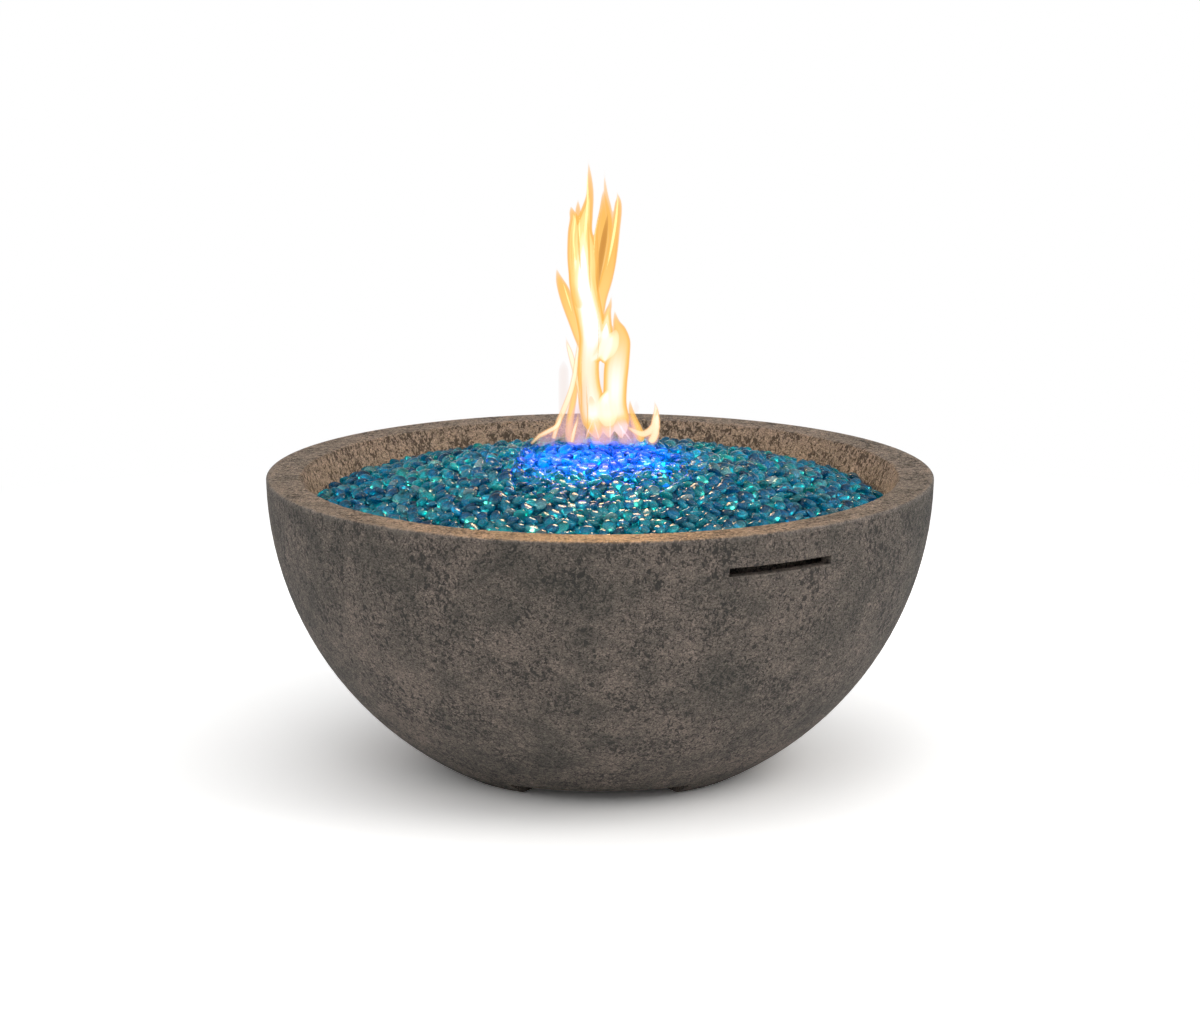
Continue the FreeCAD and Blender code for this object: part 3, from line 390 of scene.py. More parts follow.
def mesh_piece(name, points, faces, material):
    """A smooth-shaded object in the scene, from points in metres."""
    mesh = bpy.data.meshes.new(name)
    mesh.from_pydata([tuple(p) for p in points], [], [tuple(f) for f in faces])
    mesh.materials.append(material)
    mesh.polygons.foreach_set("use_smooth", [True] * len(mesh.polygons))
    mesh.update()
    piece = bpy.data.objects.new(name, mesh)
    scene.collection.objects.link(piece)
    return piece


def ring(radius, height, around):
    """Points on a level circle."""
    turns = [math.tau * k / around for k in range(around)]
    return [(radius * math.cos(turn), radius * math.sin(turn), height) for turn in turns]


def bands(starts, around):
    """Faces from each ring of points to the next. A start is a ring's first point number."""
    return [(low + k, high + k, high + (k + 1) % around, low + (k + 1) % around)
            for low, high in zip(starts, starts[1:]) for k in range(around)]


def fan(tip, start, around):
    """Faces from a point to a ring of points."""
    return [(tip, start + k, start + (k + 1) % around) for k in range(around)]


def flipped(faces):
    """The same faces turned the other way out."""
    return [(face[0], *face[:0:-1]) for face in faces]


# Fire glass: drops fall on a crowned bed until its surface is full

# The crown of the glass: its height at the edge, its rise to the middle and its radius,
# and how far the bed lies below the surface that the drops fill, all in metres
GLASS_EDGE = 0.3674
GLASS_RISE = 0.0626
GLASS_RADIUS = 0.3946
BED_SINK = 0.0150
rng = np.random.default_rng(7)


def dome(radius):
    """The height of the glass's surface at a distance from the middle."""
    return GLASS_EDGE + GLASS_RISE * (1 - (radius / GLASS_RADIUS) ** 2)


# The grid that holds the surface so far, and the number of tries and of spots for each
CELL = 0.002
MARGIN_CELLS = 8
DROP_TRIES = 5600
PICKS = 6

# A drop's half-sizes, its distance from the edge, its steepest lean and how it tumbles,
# how deep it nestles among those below, and how far its top may stand proud
DROP_HALF_LENGTH = (0.0082, 0.0114)
DROP_WIDTH_SHARE = (0.76, 1.0)
DROP_HALF_HEIGHT = (0.0037, 0.0052)
EDGE_GAP = 0.0008
EDGE_SHARE = 0.82
STEEPEST = 0.6
TUMBLE = 0.27
NESTLE = 0.45
TOP_SHARE = 0.6
PROUD = 0.0035


def settle():
    """Places drops one by one, each in the lowest of a few picked spots.

    Returns rows of centre, slopes, half-sizes and yaw. A drop leans with what lies below
    it, tumbled a little, and is left out where it would stand proud of the surface.
    """
    half = int(GLASS_RADIUS / CELL) + MARGIN_CELLS
    line = np.arange(-half, half + 1) * CELL
    target = dome(np.hypot(*np.meshgrid(line, line, indexing="ij")))
    height = target - BED_SINK
    rows = []
    for _ in range(DROP_TRIES):
        a = rng.uniform(*DROP_HALF_LENGTH)
        b = a * rng.uniform(*DROP_WIDTH_SHARE)
        c = rng.uniform(*DROP_HALF_HEIGHT)
        yaw = rng.uniform(0, math.tau)
        reach = (GLASS_RADIUS - EDGE_GAP - EDGE_SHARE * a) * np.sqrt(rng.random(PICKS))
        turn = rng.uniform(0, math.tau, PICKS)
        ix = np.rint(reach * np.cos(turn) / CELL).astype(int) + half
        iy = np.rint(reach * np.sin(turn) / CELL).astype(int) + half
        best = np.argmin(height[ix, iy] - target[ix, iy])
        i, j = ix[best], iy[best]
        n = int(a / CELL) + 1
        patch = height[i - n:i + n + 1, j - n:j + n + 1]
        across = np.arange(-n, n + 1) * CELL
        dx, dy = np.meshgrid(across, across, indexing="ij")
        u = (dx * math.cos(yaw) + dy * math.sin(yaw)) / a
        v = (dy * math.cos(yaw) - dx * math.sin(yaw)) / b
        inside = u * u + v * v < 1
        px, py, ph = dx[inside], dy[inside], patch[inside]
        rise = ph - ph.mean()
        slope_x, slope_y = [np.clip((way * rise).sum() / (way * way).sum(), -STEEPEST, STEEPEST)
                            + rng.normal(0, TUMBLE) for way in (px, py)]
        belly = c * np.sqrt(1 - (u * u + v * v)[inside])
        lean = slope_x * px + slope_y * py
        z = (ph - lean + belly).max() - NESTLE * c
        if z + TOP_SHARE * c > target[i, j] + PROUD:
            continue
        patch[inside] = np.maximum(ph, z + lean + belly)
        rows.append((line[i], line[j], z, slope_x, slope_y, a, b, c, yaw))
    return rows


DROP_RINGS = 6
DROP_AROUND = 12
PLAN_POWER = 0.72
SIDE_POWER = 0.9


def drop_template():
    """Unit points and faces of a flattened drop: two poles and rings between them."""
    points = [(0.0, 0.0, 1.0)]
    for number in range(1, DROP_RINGS + 1):
        angle = math.pi * number / (DROP_RINGS + 1)
        wide = math.sin(angle) ** PLAN_POWER
        tall = math.copysign(abs(math.cos(angle)) ** SIDE_POWER, math.cos(angle))
        points += ring(wide, tall, DROP_AROUND)
    starts = range(1, len(points), DROP_AROUND)
    faces = fan(0, starts[0], DROP_AROUND) + bands(starts, DROP_AROUND)
    faces += flipped(fan(len(points), starts[-1], DROP_AROUND))
    points.append((0.0, 0.0, -1.0))
    return np.array(points), faces


# Waves around a drop and their most, and how much thicker one end of it may be
DROP_LUMPS = ((2, 0.09), (3, 0.06))
DROP_WEDGE = 0.14
ANY_PHASE = 6.3


def shaped_drop(unit, row):
    """The template as one drop around its centre: lumpy, wedged, turned and leaning."""
    _, _, _, slope_x, slope_y, a, b, c, yaw = row
    turn = np.arctan2(unit[:, 1], unit[:, 0])
    lump = 1.0
    for waves, most in DROP_LUMPS:
        lump = lump + rng.uniform(0, most) * np.cos(waves * turn + rng.uniform(0, ANY_PHASE))
    local = unit * (a, b, c)
    local[:, :2] *= lump[:, None]
    wedge = DROP_WEDGE * np.cos(turn + rng.uniform(0, ANY_PHASE))
    local[:, 2] *= 1 + wedge * np.hypot(*unit[:, :2].T)
    cos, sin = math.cos(yaw), math.sin(yaw)
    flat = local @ np.array([(cos, sin, 0), (-sin, cos, 0), (0, 0, 1)])
    up = np.array((-slope_x, -slope_y, 1.0)) / math.sqrt(slope_x * slope_x + slope_y * slope_y + 1)
    east = np.array((1.0, 0.0, slope_x)) / math.sqrt(1 + slope_x * slope_x)
    return flat @ np.array([east, np.cross(up, east), up])


GLASS_TINTS = np.array([
    (0.001, 0.180, 0.390), (0.001, 0.300, 0.600), (0.001, 0.440, 0.760), (0.002, 0.560, 0.880),
    (0.004, 0.670, 0.950), (0.020, 0.820, 0.970), (0.004, 0.500, 0.600), (0.110, 0.640, 0.820),
    (0.310, 0.720, 0.820), (0.540, 0.820, 0.900),
])
GLASS_SHARES = np.array([0.10, 0.16, 0.18, 0.17, 0.13, 0.10, 0.04, 0.06, 0.04, 0.02])
TINT_LEVEL = (0.84, 1.52)

# How much a point's place outward and low in its drop tells, and where painted light and painted
# shade start
OUTWARD = 0.8
DOWNWARD = 0.35
UNEVEN = 0.08
EDGE_PAINTED_LIGHT = np.array((0.32, 0.98, 1.00))
EDGE_LEAST = 0.45
PAINTED_LIGHT_START = 0.22
PAINTED_LIGHT_REACH = 0.5
PAINTED_LIGHT_SHARE = (0.25, 1.0)
PAINTED_SHADE_START = 0.05
PAINTED_SHADE_REACH = 0.6
PAINTED_SHADE_SHARE = 0.60


def drop_colours(placed, row):
    """Each point's colour: the drop's tint, with painted light on its lower outer edge, where
    light through the glass gathers, and painted shade opposite.
    """
    x, y, _, _, _, a, _, c, _ = row
    tint = GLASS_TINTS[rng.choice(len(GLASS_TINTS), p=GLASS_SHARES)]
    tint = np.minimum(tint * rng.uniform(*TINT_LEVEL), 1.0)
    away = np.array((x, y, 0.0)) / max(math.hypot(x, y), 1e-6)
    toward = placed @ away / a * OUTWARD - placed[:, 2] / c * DOWNWARD + rng.normal(0, UNEVEN)
    # Painted light on the lower outer edge of each drop, and painted shade on the opposite side
    light = np.clip((toward - PAINTED_LIGHT_START) / PAINTED_LIGHT_REACH, 0, 1) * rng.uniform(*PAINTED_LIGHT_SHARE)
    dark = np.clip((-toward - PAINTED_SHADE_START) / PAINTED_SHADE_REACH, 0, 1) * PAINTED_SHADE_SHARE
    colour = tint * (1 - dark)[:, None]
    return colour + (EDGE_PAINTED_LIGHT * min(1.0, EDGE_LEAST + tint[2]) - colour) * light[:, None]


PIECE_LETTERS = "abcd"


def glass_drops(material):
    """The drops as a few pieces, with a colour at each point that holds painted light and painted
    shade.
    """
    unit, faces = drop_template()
    groups = [([], [], []) for _ in PIECE_LETTERS]
    for number, row in enumerate(settle()):
        placed = shaped_drop(unit, row)
        points, polygons, colours = groups[number % len(PIECE_LETTERS)]
        start = len(points) * len(unit)
        colours.append(drop_colours(placed, row))
        points.append(placed + row[:3])
        polygons.extend([tuple(start + k for k in face) for face in faces])
    pieces = []
    for letter, (points, polygons, colours) in zip(PIECE_LETTERS, groups):
        name = f"fire_glass_drops_{letter}"
        piece = mesh_piece(name, np.concatenate(points), polygons, material)
        tints = piece.data.attributes.new("tint", "FLOAT_COLOR", "POINT")
        rgba = np.ones((len(piece.data.vertices), 4))
        rgba[:, :3] = np.concatenate(colours)
        tints.data.foreach_set("color", rgba.ravel())
        pieces.append(piece)
    return pieces


BED_AROUND = 180
BED_STEPS = 39
BED_GAP = 0.0025
BED_LIFT = 0.0004
BED_OUTER = 0.3915
BED_INNER = 0.3540
BED_STEP_Z = 0.3612
BED_FOOT_Z = 0.3560
SWELL = 0.0011
SWELL_WAVES = ((31, 90), (5, 310))
SWELL_ABOVE = 0.362
SWELL_WITHIN = 0.386


def glass_under(material):
    """The body of the bed under the drops: flat below, crowned and lumpy above."""
    profile = []
    for step in range(1, BED_STEPS + 1):
        radius = (GLASS_RADIUS - BED_GAP) * step / BED_STEPS
        profile.append((radius, dome(radius) - BED_SINK + BED_LIFT))
    profile += [(BED_OUTER, BED_STEP_Z), (BED_INNER, BED_STEP_Z), (BED_INNER, BED_FOOT_Z)]
    points = []
    for radius, z in profile:
        for k in range(BED_AROUND):
            turn = math.tau * k / BED_AROUND
            swell = SWELL
            for around, outward in SWELL_WAVES:
                swell *= math.sin(around * turn + outward * radius)
            lift = swell if z > SWELL_ABOVE and radius < SWELL_WITHIN else 0.0
            points.append((radius * math.cos(turn), radius * math.sin(turn), z + lift))
    starts = range(0, len(points), BED_AROUND)
    faces = bands(starts, BED_AROUND) + fan(len(points), 0, BED_AROUND)
    faces += flipped(fan(len(points) + 1, starts[-1], BED_AROUND))
    points += [(0, 0, dome(0) - BED_SINK), (0, 0, BED_FOOT_Z)]
    return mesh_piece("fire_glass_bed", points, faces, material)


drops = glass_drops(fire_glass())
bed = glass_under(deep_glass())
for piece in [*drops, bed]:
    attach(piece, "bowl")
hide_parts("glass_bed")


# The fire: closed tongues filled with glowing gas. It isn't part of the object

# Each gas: the colour it has where it is thick, and its density per metre
GLOWS = {
    "halo": ((1.00, 0.68, 0.47), 26.0),
    "orange": ((1.00, 0.52, 0.09), 420.0),
    "yellow": ((1.48, 1.34, 0.67), 300.0),
    "pale": ((2.60, 2.60, 3.20), 180.0),
    "white": ((8.0, 8.0, 16.0), 200.0),
    "blush": ((1.00, 0.57, 0.20), 260.0),
    "cream": ((1.90, 1.60, 1.30), 220.0),
    "root": ((1.12, 0.82, 0.88), 420.0),
    "fill": ((1.40, 1.22, 0.92), 95.0),
    "line": ((1.70, 1.35, 1.55), 200.0),
    "gleam": ((1.90, 1.55, 0.72), 380.0),
    "streak": ((0.98, 0.48, 0.10), 640.0),
    "ember": ((0.62, 0.27, 0.055), 420.0),
    "salmon": ((0.82, 0.55, 0.45), 44.0),
    "haze": ((0.95, 0.55, 0.68), 66.0),
    "lilac": ((0.72, 0.50, 0.98), 40.0),
}


def glow(name, tint, density):
    """Gas that glows with a colour where it is thick, and lets light through where it is thin."""
    most = max(tint)
    return gas(name, (0, 0, 0), density, [part / most for part in tint], most * density)


glows = {name: glow("fire_" + name, *how) for name, how in GLOWS.items()}


def only_seen(piece):
    """Shown to the camera and to mirrors and glass, but it neither lights nor shades anything."""
    piece.visible_diffuse = False
    piece.visible_shadow = False


LINE_STEPS = 7


def smooth_line(rows):
    """A Catmull-Rom line through rows of numbers."""
    p = np.array([2 * np.array(rows[0]) - rows[1], *rows, 2 * np.array(rows[-1]) - rows[-2]])
    line = []
    for a, b, c, d in zip(p, p[1:], p[2:], p[3:]):
        for t in np.arange(LINE_STEPS) / LINE_STEPS:
            line.append(0.5 * (2 * b + (c - a) * t + (2 * a - 5 * b + 4 * c - d) * t * t
                               + (3 * b - a - 3 * c + d) * t ** 3))
    return np.array([*line, p[-2]])


# Millimetres: the flame's middle, and a tongue's least half-depth and half-width
FLAME_Y = 40.0
LEAST_DEPTH = 0.5
THINNEST = 0.35

# Shares: depth of width, root of the first half-width, and offset at the foot and middle
DEPTH_SHARE = 0.5
ROOT_SHARE = 1.3
OFFSET_AT_FOOT = 0.4
OFFSET_AT_MIDDLE = 0.7

# The camera looks down by this slope, so a tongue that is farther away stands lower by it
# and keeps its place in the picture
CAMERA_SLOPE = 0.205
SWAY_RADIANS = 4.2
TUBE_SIDES = 16
VOXEL_METRES = 0.0009


def tongue(rows, offset, sway, inset):
    """Points in metres and faces of one closed tongue along rows of (x, z, half-width)."""
    line = smooth_line(np.array(rows, float))
    walk = np.hypot(*np.gradient(line[:, :2], axis=0).T).cumsum()
    root = np.clip(walk / (ROOT_SHARE * max(line[0, 2], 1.0)), 0, 1)
    width = line[:, 2] * np.sqrt(1 - (1 - root) ** 2) - inset(line[:, 1])
    kept = np.flatnonzero(width > THINNEST)
    if len(kept) < 3:
        return [], []
    line, width = line[kept[0]:kept[-1] + 1], width[kept[0]:kept[-1] + 1]
    width = np.maximum(width, THINNEST)
    share = np.linspace(0, 1, len(line))
    drift = offset * (OFFSET_AT_FOOT + (1 - OFFSET_AT_FOOT) * share)
    depth = FLAME_Y + drift + sway * np.sin(SWAY_RADIANS * share)
    run = np.gradient(line[:, :2], axis=0)
    run /= np.linalg.norm(run, axis=1)[:, None]
    points = []
    for (x, z, _), w, y, (rx, rz) in zip(line, width, depth, run):
        z -= (y - FLAME_Y) * CAMERA_SLOPE
        for k in range(TUBE_SIDES):
            turn = math.tau * k / TUBE_SIDES
            side = w * math.cos(turn)
            back = max(w * DEPTH_SHARE, LEAST_DEPTH) * math.sin(turn)
            points.append(((x + rz * side) / 1000, (y + back) / 1000, (z - rx * side) / 1000))
    starts = range(0, len(points), TUBE_SIDES)
    faces = flipped(bands(starts, TUBE_SIDES))
    faces.append(tuple(reversed(range(TUBE_SIDES))))
    faces.append(tuple(range(starts[-1], len(points))))
    return points, faces


def flame(name, glow_name, tongues, inset, soft=3):
    """Tongues run together into one closed form that is filled with one glow."""
    points, faces = [], []
    for offset, sway, rows in tongues:
        more, around = tongue(rows, offset, sway, inset)
        faces += [tuple(len(points) + k for k in face) for face in around]
        points += more
    loose = mesh_piece(name + "_tubes", points, faces, glows[glow_name])
    merge = loose.modifiers.new("merge", "REMESH")
    merge.mode = "VOXEL"
    merge.voxel_size = VOXEL_METRES
    soften = loose.modifiers.new("soften", "SMOOTH")
    soften.iterations = soft
    merged = loose.evaluated_get(bpy.context.evaluated_depsgraph_get())
    whole = bpy.data.meshes.new_from_object(merged)
    bpy.data.objects.remove(loose)
    piece = bpy.data.objects.new(name, whole)
    scene.collection.objects.link(piece)
    only_seen(piece)


def level(amount, foot=0.0, foot_rate=0.0, head=0.0, head_rate=0.0):
    """An inset that may grow below a foot and above a head, so that a glow fades out there."""
    return lambda z: (amount + np.maximum(0, foot - z) * foot_rate
                      + np.maximum(0, z - head) * head_rate)


# Each tongue has its offset and its sway in depth, and rows of x, z and half-width, in mm
BODY = [
    (0, 5, [(-3, 440, 9.0), (-6, 466, 17.0), (-11, 494, 18.6), (-15, 522, 15.8),
            (-16, 549, 15.1), (-14, 570, 15.8), (-11, 591, 18.5), (-14, 615, 19.2),
            (-19, 640, 19.9), (-23, 667, 19.9), (-23, 692, 19.2), (-23, 716, 17.1),
            (-23, 736, 13.0), (-19, 757, 9.6), (-14, 782, 5.7), (-14, 805, 3.8), (-16, 834, 0)]),
    (-3, 3, [(-24, 630, 11.0), (-30, 661, 11.0), (-34, 695, 10.9), (-36, 730, 8.5),
             (-35, 750, 6.8), (-38, 761, 4.1), (-40, 770, 0)]),
    (4, 2, [(-26, 690, 8.0), (-31, 723, 6.8), (-30, 750, 5.5), (-30, 767, 3.4), (-30, 780, 0)]),
    (3, 2, [(-12, 610, 6.0), (-8, 640, 5.5), (-9, 667, 5.5), (-8, 695, 4.8), (-6, 723, 3.8),
            (-3, 743, 2.5), (1, 760, 1.2), (3, 769, 0)]),
    (2, 1, [(-12, 555, 8.0), (3, 572, 11.0), (7, 590, 11.7), (9, 609, 7.5), (11, 623, 4.8),
            (14, 634, 2.7), (16, 649, 0)]),
    (4, -5, [(30, 440, 7.5), (28, 466, 14.0), (21, 494, 16.1), (21, 522, 16.6),
             (23, 549, 17.2), (27, 570, 14.8), (28, 584, 13.7), (27, 597, 9.6), (23, 608, 5.5),
             (21, 618, 2.7), (20, 628, 0)]),
    (-4, 2, [(13, 440, 7.0), (11, 466, 14.0), (9, 487, 15.0), (9, 500, 12.5), (10, 510, 6.5),
             (10, 517, 0)]),
    (2, 0, [(8, 552, 9.0), (10, 567, 13.0), (14, 580, 12.0), (17, 588, 7.0), (18, 594, 0)]),
    (1, 1, [(16, 545, 8.0), (5, 577, 6.4), (8, 591, 4.6), (11, 607, 0)]),
]
BEHIND = [
    (40, 0, [(-5, 625, 4.0), (-3, 655, 6.5), (0, 690, 9.5), (3, 722, 11.5), (6, 748, 11.0),
             (6, 768, 7.0), (5, 786, 3.0), (5, 797, 0)]),
    (29, -4, [(-8, 580, 5.0), (-3, 605, 6.9), (1, 640, 8.2), (8, 667, 8.9), (14, 692, 8.2),
              (18, 716, 7.5), (21, 739, 6.8), (24, 761, 6.1), (25, 775, 4.9), (25, 783, 2.7),
              (23, 792, 0)]),
    (34, -2, [(16, 690, 3.0), (18, 709, 4.1), (16, 730, 4.4), (14, 750, 4.4), (12, 767, 4.4),
              (9, 783, 3.5), (7, 800, 2.2), (6, 822, 0)]),
    (25, -3, [(-18, 560, 5.0), (-27, 584, 6.9), (-36, 612, 8.2), (-44, 636, 8.9),
              (-50, 654, 8.2), (-55, 667, 5.8), (-58, 677, 3.0), (-60, 687, 0)]),
    (14, -4, [(-43, 442, 4.5), (-42, 469, 5.5), (-36, 505, 4.8), (-32, 534, 4.1),
              (-30, 556, 2.7), (-29, 578, 0)]),
    (11, 0, [(58, 442, 7.3), (51, 461, 6.9), (45, 478, 5.0), (42, 491, 3.0), (41, 504, 0)]),
    (22, 0, [(-21, 440, 3.0), (-16, 456, 3.0), (-12, 475, 2.2), (-10, 496, 0)]),
]
FRONT = [
    (-32, 4, [(-64, 446, 3.4), (-58, 467, 4.4), (-50, 486, 4.5), (-40, 512, 4.5),
              (-35, 533, 4.1), (-32, 556, 3.4), (-30, 577, 2.1), (-30, 596, 0)]),
    (-27, 2, [(-26, 492, 2.0), (-30, 517, 2.8), (-35, 543, 4.1), (-40, 563, 4.1),
              (-44, 576, 2.7), (-47, 589, 0)]),
    (-34, 0, [(-95, 439, 2.1), (-83, 450, 3.4), (-70, 457, 4.1), (-59, 464, 4.1),
              (-54, 475, 2.8), (-52, 489, 0)]),
    (-38, 0, [(-39, 441, 3.6), (-35, 459, 3.4), (-31, 473, 2.2), (-29, 487, 0)]),
    (-15, 3, [(36, 464, 0.8), (44, 459, 3.6), (57, 453, 5.2), (67, 456, 5.8),
              (74, 464, 5.6), (76, 475, 5.0), (77, 487, 3.3), (74, 501, 0)]),
    (-19, 3, [(69, 441, 6.3), (75, 450, 6.0), (79, 466, 4.4), (79, 480, 2.8), (78, 493, 0)]),
]
FILLS = [
    (-16, 0, [(3, 556, 5.0), (9, 569, 12.0), (15, 581, 12.0), (20, 591, 7.0), (22, 600, 0)]),
    (-16, 0, [(12, 464, 9.0), (10, 484, 15.0), (9, 498, 12.0), (10, 509, 6.0), (10, 516, 0)]),
]
STREAKS = [
    (-27, 0, [(-12, 636, 0.6), (-14, 670, 1.5), (-15, 708, 2.1), (-16, 740, 1.6), (-17, 772, 0)]),
    (-26, 0, [(-22, 655, 0.6), (-27, 690, 1.6), (-29, 720, 1.9), (-31, 757, 0)]),
    (-26, 0, [(-36, 668, 0.6), (-39, 700, 1.2), (-39, 730, 1.2), (-38, 755, 0)]),
    (-26, 0, [(-1, 618, 0.6), (-3, 650, 1.6), (-3, 690, 2.1), (-3, 722, 1.3), (-2, 742, 0)]),
    (-30, 0, [(-27, 468, 0.6), (-25, 500, 1.5), (-26, 535, 1.4), (-23, 580, 0)]),
    (-30, 0, [(-18, 448, 0.8), (-17, 475, 1.6), (-18, 505, 1.3), (-20, 545, 0)]),
    (-26, 0, [(-8, 520, 0.6), (-3, 560, 1.1), (-2, 600, 1.1), (-6, 640, 0)]),
    (8, 0, [(14, 650, 0.6), (20, 690, 1.5), (23, 720, 1.5), (26, 762, 0)]),
]
SLIT = [
    (-14, 0, [(-4, 650, 1.0), (-2, 672, 3.2), (1.5, 698, 4.4), (5.5, 724, 4.4), (9, 746, 2.6),
              (11, 762, 0)]),
]
VEILS = [
    (4, 0, [(-47, 442, 11.0), (-49, 473, 8.3), (-50, 501, 7.6), (-50, 529, 7.6), (-50, 545, 6.6),
            (-50, 558, 0)]),
    (-18, 0, [(-25, 440, 8.3), (-25, 466, 8.3), (-23, 489, 8.3), (-21, 515, 6.9),
              (-18, 542, 0)]),
    (0, 0, [(50, 482, 2.8), (50, 491, 4.4), (50, 503, 0)]),
    (16, 0, [(4, 500, 4.0), (4, 525, 5.0), (4, 548, 4.0), (4, 562, 0)]),
]
HAZE = [
    (-6, 0, [(-86, 438, 5.0), (-72, 448, 9.0), (-58, 456, 9.0), (-48, 472, 5.0), (-44, 490, 0)]),
    (0, 0, [(-36, 438, 17.0), (-34, 458, 14.0), (-32, 484, 7.0), (-30, 506, 0)]),
    (0, 0, [(2, 438, 21.0), (2, 458, 17.0), (0, 484, 9.0), (0, 502, 0)]),
    (0, 0, [(38, 438, 17.0), (38, 456, 14.0), (36, 478, 7.0), (34, 496, 0)]),
    (0, 0, [(70, 438, 11.0), (72, 452, 10.0), (75, 470, 5.0), (75, 486, 0)]),
]
GLEAMS = [
    (-22, 0, [(-34, 764, 0.5), (-34, 750, 1.3), (-36, 724, 1.6), (-34, 695, 1.2), (-31, 668, 0)]),
    (-24, 0, [(-17, 822, 0.5), (-17, 806, 1.3), (-17, 773, 1.9), (-20, 735, 2.0), (-23, 700, 0)]),
    (-12, 0, [(24, 786, 0.5), (24, 774, 1.5), (21, 744, 2.2), (15, 709, 2.0), (6, 668, 0)]),
    (-18, 0, [(2, 768, 0.5), (-2, 752, 1.0), (-6, 733, 1.2), (-8, 712, 1.2), (-8, 680, 0)]),
    (-22, 0, [(-27, 768, 0.5), (-28, 750, 1.1), (-28, 724, 1.4), (-29, 694, 0)]),
    (-16, 0, [(-52, 668, 0.5), (-48, 655, 1.3), (-42, 635, 1.5), (-34, 607, 0)]),
]
LINES = [
    (-12, 0, [(0, 440, 0.9), (-3, 452, 1.5), (-7, 466, 1.3), (-10, 484, 0)]),
    (-12, 0, [(14, 440, 0.9), (14, 452, 1.6), (14, 466, 1.3), (14, 484, 0)]),
    (-12, 0, [(45, 440, 0.9), (38, 450, 1.7), (28, 463, 1.5), (20, 480, 0)]),
    (-12, 0, [(-22, 442, 0.9), (-17, 455, 1.5), (-12, 468, 1.2), (-8, 486, 0)]),
    (-12, 0, [(-43, 442, 0.9), (-38, 454, 1.3), (-32, 466, 1.1), (-29, 482, 0)]),
    (-12, 0, [(30, 441, 0.8), (31, 455, 1.4), (29, 470, 0)]),
]
for group, tongues, foot, rate in (("body", BODY, 470, 0.34), ("behind", BEHIND, 452, 0.25)):
    flame(f"fire_{group}_halo", "halo", tongues, level(-1.4))
    flame(f"fire_{group}_rim", "orange", tongues, level(0.0, foot=foot, foot_rate=rate))
    flame(f"fire_{group}_bright", "yellow", tongues,
          level(2.3, foot=foot + 4, foot_rate=rate, head=690, head_rate=0.026))
flame("fire_body_pale", "pale", BODY,
      level(3.4, foot=477, foot_rate=0.36, head=610, head_rate=0.070), soft=10)
flame("fire_body_core", "white", BODY,
      level(5.0, foot=480, foot_rate=0.38, head=590, head_rate=0.085), soft=14)
flame("fire_body_root", "root", BODY,
      level(0.6, foot=462, foot_rate=0.50, head=456, head_rate=0.30), soft=8)
flame("fire_body_fill", "fill", FILLS, level(0.0), soft=6)
flame("fire_front_halo", "halo", FRONT, level(-1.2))
flame("fire_front_rim", "blush", FRONT, level(0.0))
flame("fire_front_bright", "cream", FRONT, level(1.2))
for part, glow_name, tongues in (("streaks", "streak", STREAKS), ("slit", "ember", SLIT),
                                 ("veils", "salmon", VEILS), ("haze", "haze", HAZE),
                                 ("lines", "line", LINES), ("gleams", "gleam", GLEAMS)):
    flame(f"fire_{part}", glow_name, tongues, level(0.0))

# Flamelets: number, reach to the side and in depth, lift over the glass, height, width and
# lean, in mm and radians. The form's rows are shares of the lean, the height and the width
FLAMELETS = 34
FLAMELET_WIDE = 78
FLAMELET_DEEP = 62
FLAMELET_SHIFT = 0.09
FLAMELET_OUT = (0.30, 1.0)
FLAMELET_LIFT = 8
FLAMELET_TALL = (14, 42)
TALL_IN_MIDDLE = 1.25
TALL_LOST_OUT = 0.6
FLAMELET_BROAD = (3.0, 6.5)
FLAMELET_LEAN = -0.30
LEAN_PER_TALL = 60
FLAMELET_FORM = ((0, 0, 1), (0.4, 0.45, 0.7), (0.8, 0.8, 0.3), (1, 1, 0))


def flamelets():
    """Small tongues all over the foot of the fire, which lean to its middle."""
    draw = np.random.default_rng(11)
    tongues = []
    for number in range(FLAMELETS):
        turn = math.tau * number / FLAMELETS + draw.uniform(-FLAMELET_SHIFT, FLAMELET_SHIFT)
        out = draw.uniform(*FLAMELET_OUT)
        x = FLAMELET_WIDE * out * math.cos(turn)
        offset = FLAMELET_DEEP * out * math.sin(turn)
        foot = 1000 * dome(math.hypot(x, FLAME_Y + offset) / 1000) + FLAMELET_LIFT
        tall = draw.uniform(*FLAMELET_TALL) * (TALL_IN_MIDDLE - TALL_LOST_OUT * out)
        wide = draw.uniform(*FLAMELET_BROAD)
        lean = FLAMELET_LEAN * x * tall / LEAN_PER_TALL
        rows = [(x + along * lean, foot + up * tall, broad * wide)
                for along, up, broad in FLAMELET_FORM]
        tongues.append((offset / OFFSET_AT_MIDDLE, 0, rows))
    return tongues


flame("fire_roots", "lilac", flamelets(), level(0.0))


# The blue layer, in metres, and the waves of its edge: number, phase and swing
VEIL_RADIUS = 0.124
VEIL_LOW = 0.0068
VEIL_THICK = 0.0062
VEIL_AROUND = 96
VEIL_RINGS = 8
VEIL_WAVES = ((5, 1, 0.05), (11, 2, 0.035), (23, 0, 0.025))


def veil_reach(turn):
    """How far the veil reaches in one direction, as a share of its radius."""
    reach = 1.0
    for waves, phase, swing in VEIL_WAVES:
        reach += swing * math.sin(waves * turn + phase)
    return reach


